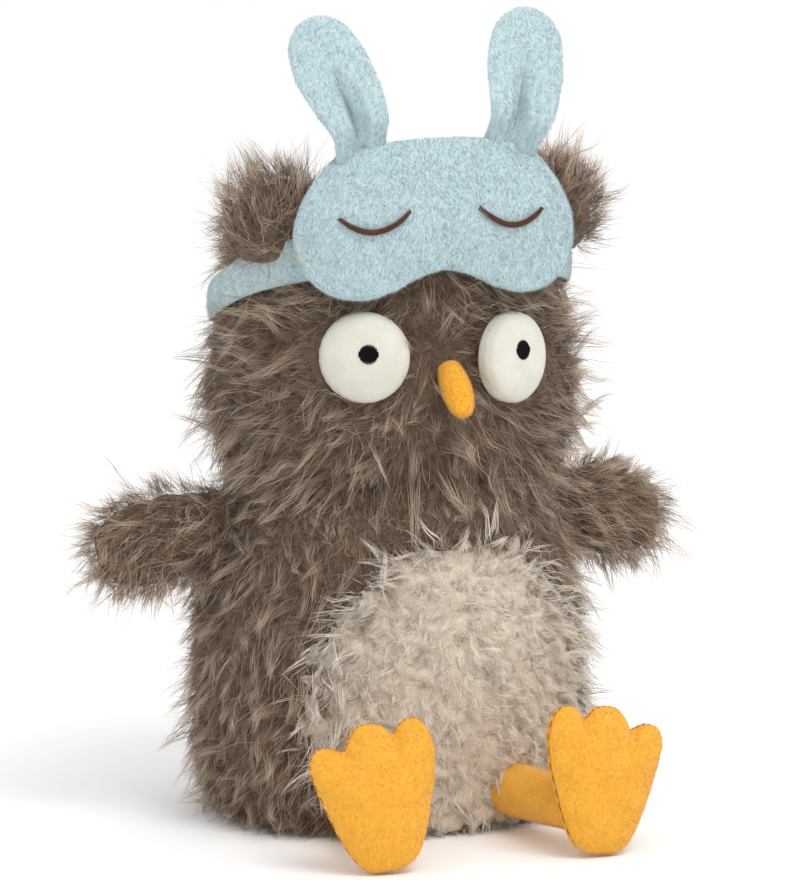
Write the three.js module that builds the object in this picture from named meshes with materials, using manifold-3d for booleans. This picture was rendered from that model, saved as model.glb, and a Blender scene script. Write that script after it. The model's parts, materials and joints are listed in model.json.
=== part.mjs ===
// Plush owl in a bunny sleep mask, sitting. Millimetres, +Z up; the owl faces -Y and its left is +X.
// The origin lies on the flat seat's underside, straight below the axis that the head turns on.

import * as THREE from 'three';
import { mergeVertices } from 'three/addons/utils/BufferGeometryUtils.js';
import Module from 'manifold-3d';

const wasm = await Module();
wasm.setup();

// Fits shared by all pieces
const gap = 0.3;
const overrun = 4;
const coverThickness = 6;
const clothThickness = 2;

// Body bag: shares of the half-width and the height, from the seat to the neck
const bodyHalfWidth = 72;
const bodyHalfDepth = 61;
const bodyHeight = 124;
const bodyForward = 4;
const bodyProfileShares = [
  [0.8, 0], [0.91, 0.05], [0.975, 0.16], [1, 0.34], [0.985, 0.56], [0.94, 0.76], [0.87, 0.91], [0.81, 1],
];
const bodySquarenessShare = 2.2;
const seatThickness = 2.5;

// Cream belly patch: half of its outline, from the bottom to the top
const bellyHalfWidth = 53;
const bellyHeight = 102;
const bellyBottom = 5;
const bellyAside = 3;
const bellyOutlineShares = [
  [0, 0], [0.55, 0.04], [0.88, 0.2], [1, 0.42], [0.9, 0.66], [0.62, 0.87], [0.3, 0.98], [0, 1],
];

// Pouch of pellets that weights the seat
const pouchRadius = 47;
const pouchHeight = 34;
const pouchProfileShares = [[0.78, 0], [0.97, 0.22], [1, 0.5], [0.86, 0.8], [0.5, 0.97], [0, 1]];

// Head bag: a soft box with a vertical brow
const headHalfWidth = 67;
const headHalfDepth = 51;
const headHeight = 105;
const headForward = 9;
const headProfileShares = [
  [0.83, 0], [0.95, 0.11], [1, 0.28], [0.985, 0.455], [0.93, 0.61], [0.905, 0.77], [0.85, 0.89],
  [0.69, 0.96], [0.4, 0.993], [0, 1],
];
const headSquarenessShare = 2.6;
const headTurn = 20;

// Ear tufts at the head's upper corners
const tuftRadius = 17;
const tuftLength = 35;
const tuftDepthShare = 0.85;
const tuftOut = 49;
const tuftForward = 29;
const tuftHeight = 202;
const tuftLean = 10;
const tuftProfileShares = [[0.6, 0], [0.9, 0.1], [1, 0.34], [0.97, 0.6], [0.78, 0.84], [0.45, 0.97], [0, 1]];

// Eyes: stuffed domes sewn to the face, with a round embroidered pupil
const eyeRadius = 15.5;
const eyeHeight = 5.5;
const eyeYaw = 32;
const eyePitch = 3;
const eyeOut = 29;
const eyeHeightOnHead = 174;
const leftEyeDrop = 3;
const eyeProfileShares = [[1, -1.6], [1, 0], [0.985, 0.3], [0.9, 0.58], [0.7, 0.83], [0.38, 0.96], [0, 1]];
const pupilRadius = 3.6;
const pupilThickness = 0.6;
const pupilIn = 3;
const leftPupilUp = 3.2;
const rightPupilUp = 1.8;

// Beak: a stuffed cone that points forward and down, sewn on slightly to the owl's left
const beakRadius = 5.9;
const beakLength = 21;
const beakOut = 2.6;
const beakHeightOnHead = 168;
const beakPitch = 42;
const beakProfileShares = [[0.9, 0], [1, 0.3], [0.93, 0.55], [0.7, 0.8], [0.38, 0.95], [0, 1]];

// Wings: paddles from the shoulder seams
const wingHalfHeight = 18.5;
const wingThicknessShare = 0.62;
const wingLength = 48;
const wingInside = 14;
const wingHeightOnBody = 107;
const wingForward = 2;
const wingDroop = 11;
const wingSweep = 7;
const wingUp = 20;
const wingDown = 40;
const wingCoverThickness = 5;
const wingProfileShares = [[0.72, 0], [0.86, 0.2], [0.98, 0.48], [0.98, 0.7], [0.8, 0.88], [0.46, 0.98], [0, 1]];

// Legs: short-plush tubes from the hip seams to the backs of the feet
const legRadius = 9.5;
const legHipRadius = 11;
const legInside = 10;
const hipOut = 28;
const hipHeight = 15;
const ankleOut = 38;
const ankleForward = 96;
const ankleHeight = 15;
const legUp = 30;
const legDown = 70;

// Feet: a sole and an upper sewn round the edge, toes up
const footWidth = 47.5;
const footHeight = 55;
const footHalfThickness = 8;
const footOut = 39.5;
const footForward = 110;
const footLean = 8;
const footRoll = 7;
const footYaw = 6;
const footMiddleShare = 0.46;
const footFullnessShare = 0.62;
const footOutlineShares = [
  [0, 0], [0.14, 0.01], [0.24, 0.08], [0.34, 0.24], [0.41, 0.42], [0.47, 0.6], [0.5, 0.75], [0.46, 0.85],
  [0.36, 0.88], [0.26, 0.85], [0.21, 0.84], [0.16, 0.91], [0.09, 0.975], [0, 0.99], [-0.1, 0.97], [-0.16, 0.92],
  [-0.2, 0.9], [-0.25, 0.945], [-0.34, 0.98], [-0.44, 0.94], [-0.5, 0.8], [-0.48, 0.6], [-0.42, 0.42],
  [-0.35, 0.24], [-0.25, 0.08], [-0.14, 0.01],
];

// Sleep mask: a padded panel with a nose notch, bent round the brow
const maskWidth = 114;
const maskHeight = 55;
const maskHalfThickness = 6.5;
const maskBendRadius = 160;
const maskLean = 10;
const maskForward = 58;
const maskHeightOnHead = 221;
const maskFullnessShare = 0.6;
const maskOutlineShares = [
  [0, -0.33], [0.09, -0.37], [0.18, -0.45], [0.28, -0.5], [0.39, -0.45], [0.47, -0.3], [0.5, -0.08], [0.48, 0.12],
  [0.42, 0.31], [0.33, 0.45], [0.18, 0.495], [0, 0.5], [-0.18, 0.495], [-0.33, 0.45], [-0.42, 0.31],
  [-0.48, 0.12], [-0.5, -0.08], [-0.47, -0.3], [-0.39, -0.45], [-0.28, -0.5], [-0.18, -0.45], [-0.09, -0.37],
];

// Closed eyelids in satin stitch on the mask
const eyelidOut = 24.5;
const eyelidAside = 1.3;
const eyelidWidth = 24;
const eyelidSag = 6;
const eyelidRise = 3.5;
const eyelidTilt = 3;
const stitchWidth = 2.4;
const stitchThickness = 1;

// Bunny ears: flat double plush, folded at the root
const bunnyWidth = 29.5;
const bunnyLength = 50.5;
const bunnyHalfThickness = 4;
const bunnyOutShare = 0.25;
const bunnyOut = bunnyOutShare * maskWidth;
const bunnyLean = 16;
const bunnyTilt = 15;
const bunnyFold = 6;
const bunnySeatShare = 0.5;
const bunnyForwardBend = 50;
const bunnyBackBend = 20;
const bunnyFullnessShare = 0.8;
const bunnyOutlineShares = [
  [0, 0], [0.28, 0.02], [0.33, 0.15], [0.42, 0.35], [0.49, 0.54], [0.5, 0.69], [0.42, 0.86], [0.22, 0.97], [0, 1],
  [-0.22, 0.97], [-0.42, 0.86], [-0.5, 0.69], [-0.49, 0.54], [-0.42, 0.35], [-0.33, 0.15], [-0.28, 0.02],
];

// Strap: a flattened plush tube from the mask's ends round the back of the head
const strapHalfWidth = 7.5;
const strapBackHalfWidth = 5;
const strapHalfThickness = 1.8;
const strapClearance = 1.1;
const strapPress = 2;
const strapEndHeight = 209;
const strapSideHeight = 188;
const strapBackHeight = 168;
const strapEndAngle = 130;

// Faceting
const bodySegments = 28;
const bodyRings = 11;
const innerSegments = 16;
const innerRings = 6;
const limbSegments = 14;
const limbRings = 7;
const limbInnerRings = 4;
const eyeSegments = 20;
const padSegments = 40;
const padRings = 6;
const padInnerRings = 4;
const sweepSteps = 6;
const strapSteps = 40;
const strapCorners = 6;
const stitchCorners = 6;

const brownPlush = '#7d6f62';
const creamPlush = '#cfc6b8';
const bluePlush = '#b5d3db';
const orangePlush = '#f7ae31';
const beakPlush = '#f0a51f';
const eyeCloth = '#e9e8df';
const pupilThread = '#14130f';
const lidThread = '#6b4636';
const fibre = '#f2f1ec';
const pelletCloth = '#d9d6cc';

const up = new THREE.Vector3(0, 0, 1);
const across = new THREE.Vector3(1, 0, 0);
const ahead = new THREE.Vector3(0, -1, 0);
const radians = THREE.MathUtils.degToRad;

// Solids

function volumeOf(points, triangles) {
  const [a, b, c] = [new THREE.Vector3(), new THREE.Vector3(), new THREE.Vector3()];
  let total = 0;
  for (let i = 0; i < triangles.length; i += 3) {
    a.fromBufferAttribute(points, triangles[i]);
    b.fromBufferAttribute(points, triangles[i + 1]);
    c.fromBufferAttribute(points, triangles[i + 2]);
    total += a.dot(b.cross(c));
  }
  return total;
}

// A closed geometry as a solid whose faces point out
function solid(geometry) {
  const bare = new THREE.BufferGeometry();
  bare.setAttribute('position', geometry.attributes.position);
  bare.setIndex(geometry.index);
  const welded = mergeVertices(bare);
  const triangles = [];
  for (let i = 0; i < welded.index.count; i += 3) {
    const corners = [0, 1, 2].map((k) => welded.index.getX(i + k));
    if (new Set(corners).size === corners.length) {
      triangles.push(...corners);
    }
  }
  if (volumeOf(welded.attributes.position, triangles) < 0) {
    triangles.reverse();
  }
  const mesh = new wasm.Mesh({
    numProp: 3,
    vertProperties: new Float32Array(welded.attributes.position.array),
    triVerts: new Uint32Array(triangles),
  });
  return new wasm.Manifold(mesh);
}

function geometryOf(shape) {
  const mesh = shape.getMesh();
  const geometry = new THREE.BufferGeometry();
  geometry.setAttribute('position', new THREE.BufferAttribute(new Float32Array(mesh.vertProperties), 3));
  geometry.setIndex(new THREE.BufferAttribute(new Uint32Array(mesh.triVerts), 1));
  return geometry;
}

// Every vertex moved by one rule
function mapped(geometry, rule) {
  const result = geometry.clone();
  const { position } = result.attributes;
  const point = new THREE.Vector3();
  for (let i = 0; i < position.count; i += 1) {
    point.fromBufferAttribute(position, i);
    rule(point);
    position.setXYZ(i, point.x, point.y, point.z);
  }
  return result;
}

const mirrored = (shape) => solid(mapped(geometryOf(shape), (point) => point.setX(-point.x)));

const box = (width, depth, height, bottom) =>
  solid(new THREE.BoxGeometry(width, depth, height).translate(0, 0, bottom + height / 2));

// Form about Z through shares of a radius and a height, with an elliptic or soft-box section
function spun(profileShares, radius, height, segments, rings) {
  const points = profileShares.map(([r, h]) => new THREE.Vector2(r * radius, h * height));
  const outline = new THREE.SplineCurve(points).getPoints(rings);
  outline.forEach((point) => point.setX(Math.max(point.x, 0)));
  outline.unshift(new THREE.Vector2(0, outline[0].y));
  outline.push(new THREE.Vector2(0, outline.at(-1).y));
  return new THREE.LatheGeometry(outline, segments).rotateX(Math.PI / 2);
}

function squared(geometry, depthShare, power) {
  return mapped(geometry, (point) => {
    const angle = Math.atan2(point.y, point.x);
    const reach = Math.abs(Math.cos(angle)) ** power + Math.abs(Math.sin(angle)) ** power;
    point.multiply(new THREE.Vector3(1, depthShare, 1).multiplyScalar(reach ** (-1 / power)).setZ(1));
  });
}

// Pad with a seam along a closed outline in XY and a crown along Z
function pillow(outlineShares, width, height, middleShare, crown, fullness, segments, rings) {
  const corners = outlineShares.map(([x, y]) => new THREE.Vector3(x * width, y * height, 0));
  const outline = new THREE.CatmullRomCurve3(corners, true);
  const form = new THREE.SphereGeometry(1, segments, rings);
  const { position, uv } = form.attributes;
  const middle = new THREE.Vector3(0, middleShare * height, 0);
  for (let i = 0; i < position.count; i += 1) {
    const polar = (1 - uv.getY(i)) * Math.PI;
    const edge = outline.getPoint(uv.getX(i) - Math.floor(uv.getX(i)));
    const point = middle.clone().lerp(edge, Math.max(Math.sin(polar), 0) ** fullness);
    position.setXYZ(i, point.x, point.y, crown * Math.cos(polar));
  }
  return form;
}

// Closed skin through rings of equally many points, with flat ends
function loft(rings) {
  const count = rings[0].length;
  const middles = [rings[0], rings.at(-1)].map((ring) =>
    ring.reduce((sum, point) => sum.add(point), new THREE.Vector3()).divideScalar(count));
  const points = [...rings.flat(), ...middles];
  const index = [];
  for (let i = 0; i + 1 < rings.length; i += 1) {
    for (let k = 0; k < count; k += 1) {
      const [a, b] = [i * count + k, i * count + (k + 1) % count];
      index.push(a, b, a + count, b, b + count, a + count);
    }
  }
  for (let k = 0; k < count; k += 1) {
    const last = (rings.length - 1) * count;
    index.push(points.length - 2, (k + 1) % count, k);
    index.push(points.length - 1, last + k, last + (k + 1) % count);
  }
  const geometry = new THREE.BufferGeometry().setFromPoints(points);
  geometry.setIndex(index);
  return geometry;
}

// Flat oval section round a middle point
function oval(middle, side, out, halfWidth, halfThickness, corners) {
  return Array.from({ length: corners }, (_, k) => {
    const angle = (2 * Math.PI * k) / corners;
    return middle.clone()
      .addScaledVector(side, halfWidth * Math.cos(angle))
      .addScaledVector(out, halfThickness * Math.sin(angle));
  });
}

function turned(geometry, pivot, axis, degrees) {
  return geometry.clone()
    .translate(-pivot.x, -pivot.y, -pivot.z)
    .applyMatrix4(new THREE.Matrix4().makeRotationAxis(axis, radians(degrees)))
    .translate(pivot.x, pivot.y, pivot.z);
}

// A swinging piece cut back by what it swings past, from one end of its swing to the other
function cutBySwing(piece, obstacle, pivot, axis, least, most) {
  let result = piece;
  for (let i = 0; i <= sweepSteps; i += 1) {
    const angle = THREE.MathUtils.lerp(least, most, i / sweepSteps);
    result = result.subtract(solid(turned(obstacle, pivot, axis, -angle)));
  }
  return result;
}

// First point of a form that a straight line meets
function firstHit(form, from, direction) {
  const mesh = new THREE.Mesh(form, new THREE.MeshBasicMaterial({ side: THREE.DoubleSide }));
  return new THREE.Raycaster(from, direction).intersectObject(mesh)[0].point;
}

// Place on the front of a form, with the outward direction over a patch of the given half-size
function seatOnFront(form, x, z, reach) {
  const start = -headHalfDepth - bodyHalfDepth - headForward;
  const back = ahead.clone().negate();
  const at = (dx, dz) => firstHit(form, new THREE.Vector3(x + dx, start, z + dz), back);
  const alongX = at(reach, 0).sub(at(-reach, 0));
  const alongZ = at(0, reach).sub(at(0, -reach));
  return { point: at(0, 0), out: alongX.cross(alongZ).normalize() };
}

function aimed(geometry, seat, out) {
  const side = new THREE.Vector3().crossVectors(up, out).normalize();
  const top = new THREE.Vector3().crossVectors(out, side);
  return geometry.clone().applyMatrix4(new THREE.Matrix4().makeBasis(side, top, out).setPosition(seat));
}

// Body

const neckHeight = bodyHeight + gap;

function bodyForm(inset, run, segments, rings) {
  const radius = bodyHalfWidth - inset;
  const form = spun(bodyProfileShares, radius, bodyHeight, segments, rings);
  const rounded = squared(form, (bodyHalfDepth - inset) / radius, bodySquarenessShare);
  return mapped(rounded, (point) => {
    point.y -= bodyForward;
    point.z = point.z <= 0 ? -run : point.z;
    point.z = point.z >= bodyHeight ? bodyHeight + run : point.z;
  });
}

const bodyOuter = bodyForm(0, 0, bodySegments, bodyRings);
const bodyGrown = bodyForm(-gap, gap, bodySegments, bodyRings);
const bodyHollow = solid(bodyForm(coverThickness, overrun, innerSegments, innerRings));
const bodyInside = solid(bodyForm(coverThickness + gap, 0, innerSegments, innerRings));

function bellyPrism(inset) {
  const side = bellyOutlineShares.map(([x, z]) => [x * (bellyHalfWidth - inset), z]);
  const other = side.slice(1, -1).map(([x, z]) => [-x, z]).reverse();
  const corners = [...side, ...other].map(([x, z]) =>
    new THREE.Vector2(bellyAside + x, bellyBottom + inset + z * (bellyHeight - 2 * inset)));
  const curve = new THREE.SplineCurve([...corners, corners[0]]);
  const outline = new THREE.Shape(curve.getPoints(bodySegments).slice(0, -1));
  const depth = bodyHalfDepth + bodyForward;
  const prism = new THREE.ExtrudeGeometry(outline, { depth, bevelEnabled: false });
  return solid(prism.rotateX(Math.PI / 2).translate(0, -bodyForward, 0));
}

const bodyShell = solid(bodyOuter).subtract(bodyHollow);
const bodyCover = bodyShell.subtract(bellyPrism(0));
const bellyPatch = bodyShell.intersect(bellyPrism(gap));
const basePanel = bodyInside.intersect(box(2 * bodyHalfWidth, 3 * bodyHalfDepth, seatThickness, 0));

const pouchBottom = seatThickness + gap;
const pouchForm = (grow, drop) =>
  spun(pouchProfileShares, pouchRadius + grow, pouchHeight + grow + drop, innerSegments, innerRings)
    .translate(0, -bodyForward, pouchBottom - drop);
const beanPouch = solid(pouchForm(0, 0));
const fillingHeight = bodyHeight - pouchBottom;
const bodyFilling = bodyInside
  .intersect(box(2 * bodyHalfWidth, 3 * bodyHalfDepth, fillingHeight, pouchBottom))
  .subtract(solid(pouchForm(gap, gap)));

// Head

function headForm(inset, run, segments, rings) {
  const radius = headHalfWidth - inset;
  const form = spun(headProfileShares, radius, headHeight - inset, segments, rings);
  const rounded = squared(form, (headHalfDepth - inset) / radius, headSquarenessShare);
  return mapped(rounded, (point) => {
    point.y -= headForward;
    point.z = neckHeight + (point.z <= 0 ? -run : point.z);
  });
}

const headOuter = headForm(0, 0, bodySegments, bodyRings);
const headGrown = headForm(-gap, gap, bodySegments, bodyRings);
const headCutter = solid(headGrown);
const headHollow = solid(headForm(coverThickness, overrun, innerSegments, innerRings));
const headCover = solid(headOuter).subtract(headHollow);
const headFilling = solid(headForm(coverThickness + gap, 0, innerSegments, innerRings));

// Strap: it leaves the mask's ends and runs down and round the back of the head
function strapForm(grow) {
  const heights = [strapEndHeight, strapSideHeight, strapBackHeight, strapSideHeight, strapEndHeight];
  const rise = new THREE.SplineCurve(heights.map((height, i) => new THREE.Vector2(i, height)));
  const centre = new THREE.Vector3(0, -headForward, 0);
  const rings = [];
  for (let i = 0; i <= strapSteps; i += 1) {
    const share = (2 * i) / strapSteps - 1;
    const angle = share * radians(strapEndAngle);
    const height = rise.getPoint(i / strapSteps).y;
    const out = new THREE.Vector3(Math.sin(angle), Math.cos(angle), 0);
    const from = centre.clone().setZ(height).addScaledVector(out, 3 * headHalfWidth);
    const touch = firstHit(headOuter, from, out.clone().negate());
    const middle = touch.addScaledVector(out, strapClearance + strapHalfThickness);
    const halfWidth = THREE.MathUtils.lerp(strapBackHalfWidth, strapHalfWidth, Math.abs(share));
    rings.push(oval(middle, up, out, halfWidth + grow, strapHalfThickness + grow, strapCorners));
  }
  return loft(rings);
}

const tuftForm = squared(spun(tuftProfileShares, tuftRadius, tuftLength, limbSegments, limbRings),
  tuftDepthShare, headSquarenessShare)
  .rotateY(radians(tuftLean))
  .translate(tuftOut, -tuftForward, tuftHeight);
const earTuft = solid(tuftForm).subtract(headCutter).subtract(solid(strapForm(strapPress)));

// Face

const eyeDirection = ahead.clone()
  .applyAxisAngle(across, -radians(eyePitch))
  .applyAxisAngle(up, radians(eyeYaw));
const eyeDome = (grow) =>
  spun(eyeProfileShares, eyeRadius + grow, eyeHeight + grow, eyeSegments, limbRings);
const pupilCore = (rise) => new THREE.CylinderGeometry(pupilRadius, pupilRadius, 2 * eyeHeight, limbSegments)
  .rotateX(Math.PI / 2)
  .translate(-pupilIn, rise, eyeHeight);

function eyeSet(height, pupilUp) {
  const seat = seatOnFront(headOuter, eyeOut, height, eyeRadius / 2).point;
  const form = (grow) => solid(aimed(eyeDome(grow), seat, eyeDirection));
  const pupil = form(gap + pupilThickness)
    .subtract(form(gap))
    .intersect(solid(aimed(pupilCore(pupilUp), seat, eyeDirection)));
  return { eye: form(0).subtract(headCutter), pupil };
}

const leftEye = eyeSet(eyeHeightOnHead - leftEyeDrop, leftPupilUp);
const rightEye = eyeSet(eyeHeightOnHead, rightPupilUp);

const beakSeat = seatOnFront(headOuter, beakOut, beakHeightOnHead, beakRadius);
const beakDirection = ahead.clone().applyAxisAngle(across, radians(beakPitch));
const beakForm = spun(beakProfileShares, beakRadius, beakLength, limbSegments, limbRings);
const beak = solid(aimed(beakForm, beakSeat.point, beakDirection)).subtract(headCutter);

// Wings

const headSweep = [-2, -1, 0, 1, 2]
  .map((step) => solid(turned(headGrown, new THREE.Vector3(), up, (step * headTurn) / 2)))
  .reduce((sum, turn) => sum.add(turn));
const shoulder = firstHit(bodyOuter,
  new THREE.Vector3(2 * bodyHalfWidth, -wingForward, wingHeightOnBody), across.clone().negate());
const wingAlong = new THREE.Vector3(1, Math.tan(radians(wingSweep)), -Math.tan(radians(wingDroop))).normalize();
const wingAxis = ahead;

function wingForm(inset, rings) {
  const length = wingLength + wingInside - inset;
  const form = spun(wingProfileShares, wingHalfHeight - inset, length, limbSegments, rings);
  const share = (wingThicknessShare * wingHalfHeight - inset) / (wingHalfHeight - inset);
  const flat = form.scale(share, 1, 1).translate(0, 0, -wingInside);
  return aimed(flat, shoulder, wingAlong);
}

function wingCut(piece) {
  const clearBody = cutBySwing(piece, bodyGrown, shoulder, wingAxis, -wingDown, wingUp);
  return cutBySwing(clearBody, geometryOf(headSweep), shoulder, wingAxis, -wingDown, wingUp);
}

const wingHollow = solid(wingForm(wingCoverThickness, limbInnerRings));
const wingCover = wingCut(solid(wingForm(0, limbRings)).subtract(wingHollow));
const wingFilling = wingCut(solid(wingForm(wingCoverThickness + gap, limbInnerRings)));

// Legs and feet

const hip = seatOnFront(bodyOuter, hipOut, hipHeight, hipHeight / 2).point;
const ankle = new THREE.Vector3(ankleOut, -ankleForward, ankleHeight);
const legAlong = ankle.clone().sub(hip).normalize();
const legAxis = across.clone().negate();

function legForm(inset, run) {
  const side = new THREE.Vector3().crossVectors(up, legAlong).normalize();
  const top = new THREE.Vector3().crossVectors(legAlong, side);
  const from = hip.clone().addScaledVector(legAlong, -legInside - run);
  const to = ankle.clone().addScaledVector(legAlong, footHalfThickness + run);
  const ring = (middle, radius) => oval(middle, side, top, radius - inset, radius - inset, limbSegments);
  return loft([ring(from, legHipRadius), ring(to, legRadius)]);
}

function footForm(inset, rings) {
  const form = pillow(footOutlineShares, footWidth - 2 * inset, footHeight - 2 * inset, footMiddleShare,
    footHalfThickness - inset, footFullnessShare, padSegments, rings);
  return form.translate(0, inset, 0);
}

// From the flat foot, sole towards +Z, to its place on the floor
function footPlaced(shape) {
  return geometryOf(shape)
    .rotateZ(-radians(footRoll))
    .rotateX(Math.PI / 2 - radians(footLean))
    .rotateZ(radians(footYaw));
}

const footHalf = (bottom) => box(2 * footWidth, 3 * footHeight, footHalfThickness + overrun, bottom);
const footHollow = solid(footForm(clothThickness, padInnerRings));
const footShell = solid(footForm(0, padRings)).subtract(footHollow);
const footSole = footShell.intersect(footHalf(gap / 2));
const footUpper = footShell.intersect(footHalf(-footHalfThickness - overrun - gap / 2));
const footFilling = solid(footForm(clothThickness + gap, padInnerRings));
const footWhole = footPlaced(solid(footForm(0, padRings)));
footWhole.computeBoundingBox();
const footPlace = new THREE.Vector3(footOut, -footForward, -footWhole.boundingBox.min.z);
const footSet = (shape) => footPlaced(shape).translate(footPlace.x, footPlace.y, footPlace.z);
const footCutter = solid(footSet(solid(footForm(-gap, padRings))));

function legCut(piece) {
  const clearBody = cutBySwing(piece, bodyGrown, hip, legAxis, -legDown, legUp);
  return clearBody.subtract(footCutter);
}

const legCover = legCut(solid(legForm(0, 0)).subtract(solid(legForm(clothThickness, overrun))));
const legFilling = legCut(solid(legForm(clothThickness + gap, 0)));

// Sleep mask, made flat and then bent round the brow

const maskMiddle = new THREE.Vector3(0, -maskForward, maskHeightOnHead);
const maskOut = ahead.clone().applyAxisAngle(across, -radians(maskLean));
const maskUp = new THREE.Vector3().crossVectors(maskOut, across);

function bent(geometry) {
  return mapped(geometry, (point) => {
    const angle = point.x / maskBendRadius;
    const radius = maskBendRadius + point.z;
    const place = maskMiddle.clone()
      .addScaledVector(across, radius * Math.sin(angle))
      .addScaledVector(maskOut, radius * Math.cos(angle) - maskBendRadius)
      .addScaledVector(maskUp, point.y);
    point.copy(place);
  });
}

function maskForm(inset, rings) {
  return pillow(maskOutlineShares, maskWidth - 2 * inset, maskHeight - 2 * inset, 0,
    maskHalfThickness - inset, maskFullnessShare, padSegments, rings);
}

const maskFlat = maskForm(0, padRings);
const maskShell = solid(maskFlat).subtract(solid(maskForm(clothThickness, padInnerRings)));
const maskHalf = (bottom) => box(2 * maskWidth, 2 * maskHeight, maskHalfThickness + overrun, bottom);
const maskSet = (shape) => solid(bent(geometryOf(shape))).subtract(headCutter);
const maskFront = maskSet(maskShell.intersect(maskHalf(gap / 2)));
const maskLining = maskSet(maskShell.intersect(maskHalf(-maskHalfThickness - overrun - gap / 2)));
const maskPadding = maskSet(solid(maskForm(clothThickness + gap, padInnerRings)));

// An eyelid's arc of thread, lying on the flat mask's front with its middle so far from the notch
function eyelid(aside) {
  const steps = limbSegments;
  const rise = gap + stitchThickness / 2;
  const middles = Array.from({ length: steps + 1 }, (_, i) => {
    const share = (2 * i) / steps - 1;
    const x = aside + (share * eyelidWidth) / 2;
    const tilt = Math.tan(radians(eyelidTilt)) * (aside - x);
    const y = tilt + eyelidRise - eyelidSag * (1 - share * share);
    const top = firstHit(maskFlat, new THREE.Vector3(x, y, 2 * maskHalfThickness), up.clone().negate());
    return top.setZ(top.z + rise);
  });
  const rings = middles.map((middle, i) => {
    const before = middles[Math.max(i - 1, 0)];
    const after = middles[Math.min(i + 1, steps)];
    const side = new THREE.Vector3().crossVectors(up, after.clone().sub(before)).normalize();
    const out = new THREE.Vector3().crossVectors(after.clone().sub(before), side).normalize();
    return oval(middle, side, out, stitchWidth / 2, stitchThickness / 2, stitchCorners);
  });
  return solid(bent(loft(rings)));
}

const leftEyelid = eyelid(eyelidOut - eyelidAside);
const rightEyelid = mirrored(eyelid(eyelidOut + eyelidAside));

// Bunny ears stand on the mask's top seam
const seamTop = firstHit(maskForm(-gap, padRings), new THREE.Vector3(bunnyOut, maskHeight, 0), ahead);
const seamPlace = bent(new THREE.BufferGeometry().setFromPoints([seamTop]));
const bunnyRoot = new THREE.Vector3().fromBufferAttribute(seamPlace.attributes.position, 0);

function bunnyForm() {
  const form = pillow(bunnyOutlineShares, bunnyWidth, bunnyLength, bunnySeatShare,
    bunnyHalfThickness, bunnyFullnessShare, 2 * limbSegments, padRings);
  const folded = mapped(form, (point) => {
    const rise = point.y / bunnyLength;
    point.z += bunnyFold * (1 - rise) * Math.abs(point.x / (bunnyWidth / 2));
  });
  return folded
    .rotateZ(-radians(bunnyLean))
    .rotateX(Math.PI / 2 - radians(bunnyTilt))
    .translate(bunnyRoot.x, bunnyRoot.y, bunnyRoot.z);
}

const maskWholeGrown = bent(maskForm(-gap, padRings));
const bunnyEar = cutBySwing(solid(bunnyForm()), maskWholeGrown, bunnyRoot, across,
  -bunnyBackBend, bunnyForwardBend);

const strap = solid(strapForm(0)).subtract(solid(maskWholeGrown));

// The assembly

const plush = (color) => new THREE.MeshStandardMaterial({ color, roughness: 0.95, metalness: 0 });

function piece(name, shape, color) {
  const geometry = geometryOf(shape);
  geometry.computeVertexNormals();
  const mesh = new THREE.Mesh(geometry, plush(color));
  mesh.name = name;
  return mesh;
}

const pair = (name, shape, color) => [
  piece(`${name}_left`, shape, color),
  piece(`${name}_right`, mirrored(shape), color),
];

const group = new THREE.Group();
group.add(
  piece('body_cover', bodyCover, brownPlush),
  piece('belly_patch', bellyPatch, creamPlush),
  piece('base_panel', basePanel, brownPlush),
  piece('bean_pouch', beanPouch, pelletCloth),
  piece('body_filling', bodyFilling, fibre),
  piece('head_cover', headCover, brownPlush),
  piece('head_filling', headFilling, fibre),
  ...pair('ear_tuft', earTuft, brownPlush),
  piece('eye_left', leftEye.eye, eyeCloth),
  piece('eye_right', mirrored(rightEye.eye), eyeCloth),
  piece('pupil_left', leftEye.pupil, pupilThread),
  piece('pupil_right', mirrored(rightEye.pupil), pupilThread),
  piece('beak', beak, beakPlush),
  ...pair('wing', wingCover, brownPlush),
  ...pair('wing_filling', wingFilling, fibre),
  ...pair('leg', legCover, orangePlush),
  ...pair('leg_filling', legFilling, fibre),
  ...pair('foot_sole', solid(footSet(footSole)), orangePlush),
  ...pair('foot_upper', solid(footSet(footUpper)), orangePlush),
  ...pair('foot_filling', solid(footSet(footFilling)), fibre),
  piece('mask_front', maskFront, bluePlush),
  piece('mask_lining', maskLining, bluePlush),
  piece('mask_padding', maskPadding, fibre),
  ...pair('mask_ear', bunnyEar, bluePlush),
  piece('eyelid_left', leftEyelid, lidThread),
  piece('eyelid_right', rightEyelid, lidThread),
  piece('mask_strap', strap, bluePlush),
);

export default group;
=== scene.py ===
"""Plush owl in a bunny sleep mask: its looks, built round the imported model. Lengths here are millimetres."""

from __future__ import annotations

import json
import logging
import math
from collections.abc import Callable, Sequence
from dataclasses import dataclass, replace
from enum import Enum

import bpy
import numpy as np
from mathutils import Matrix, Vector
from mathutils.bvhtree import BVHTree
from mathutils.kdtree import KDTree


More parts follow.
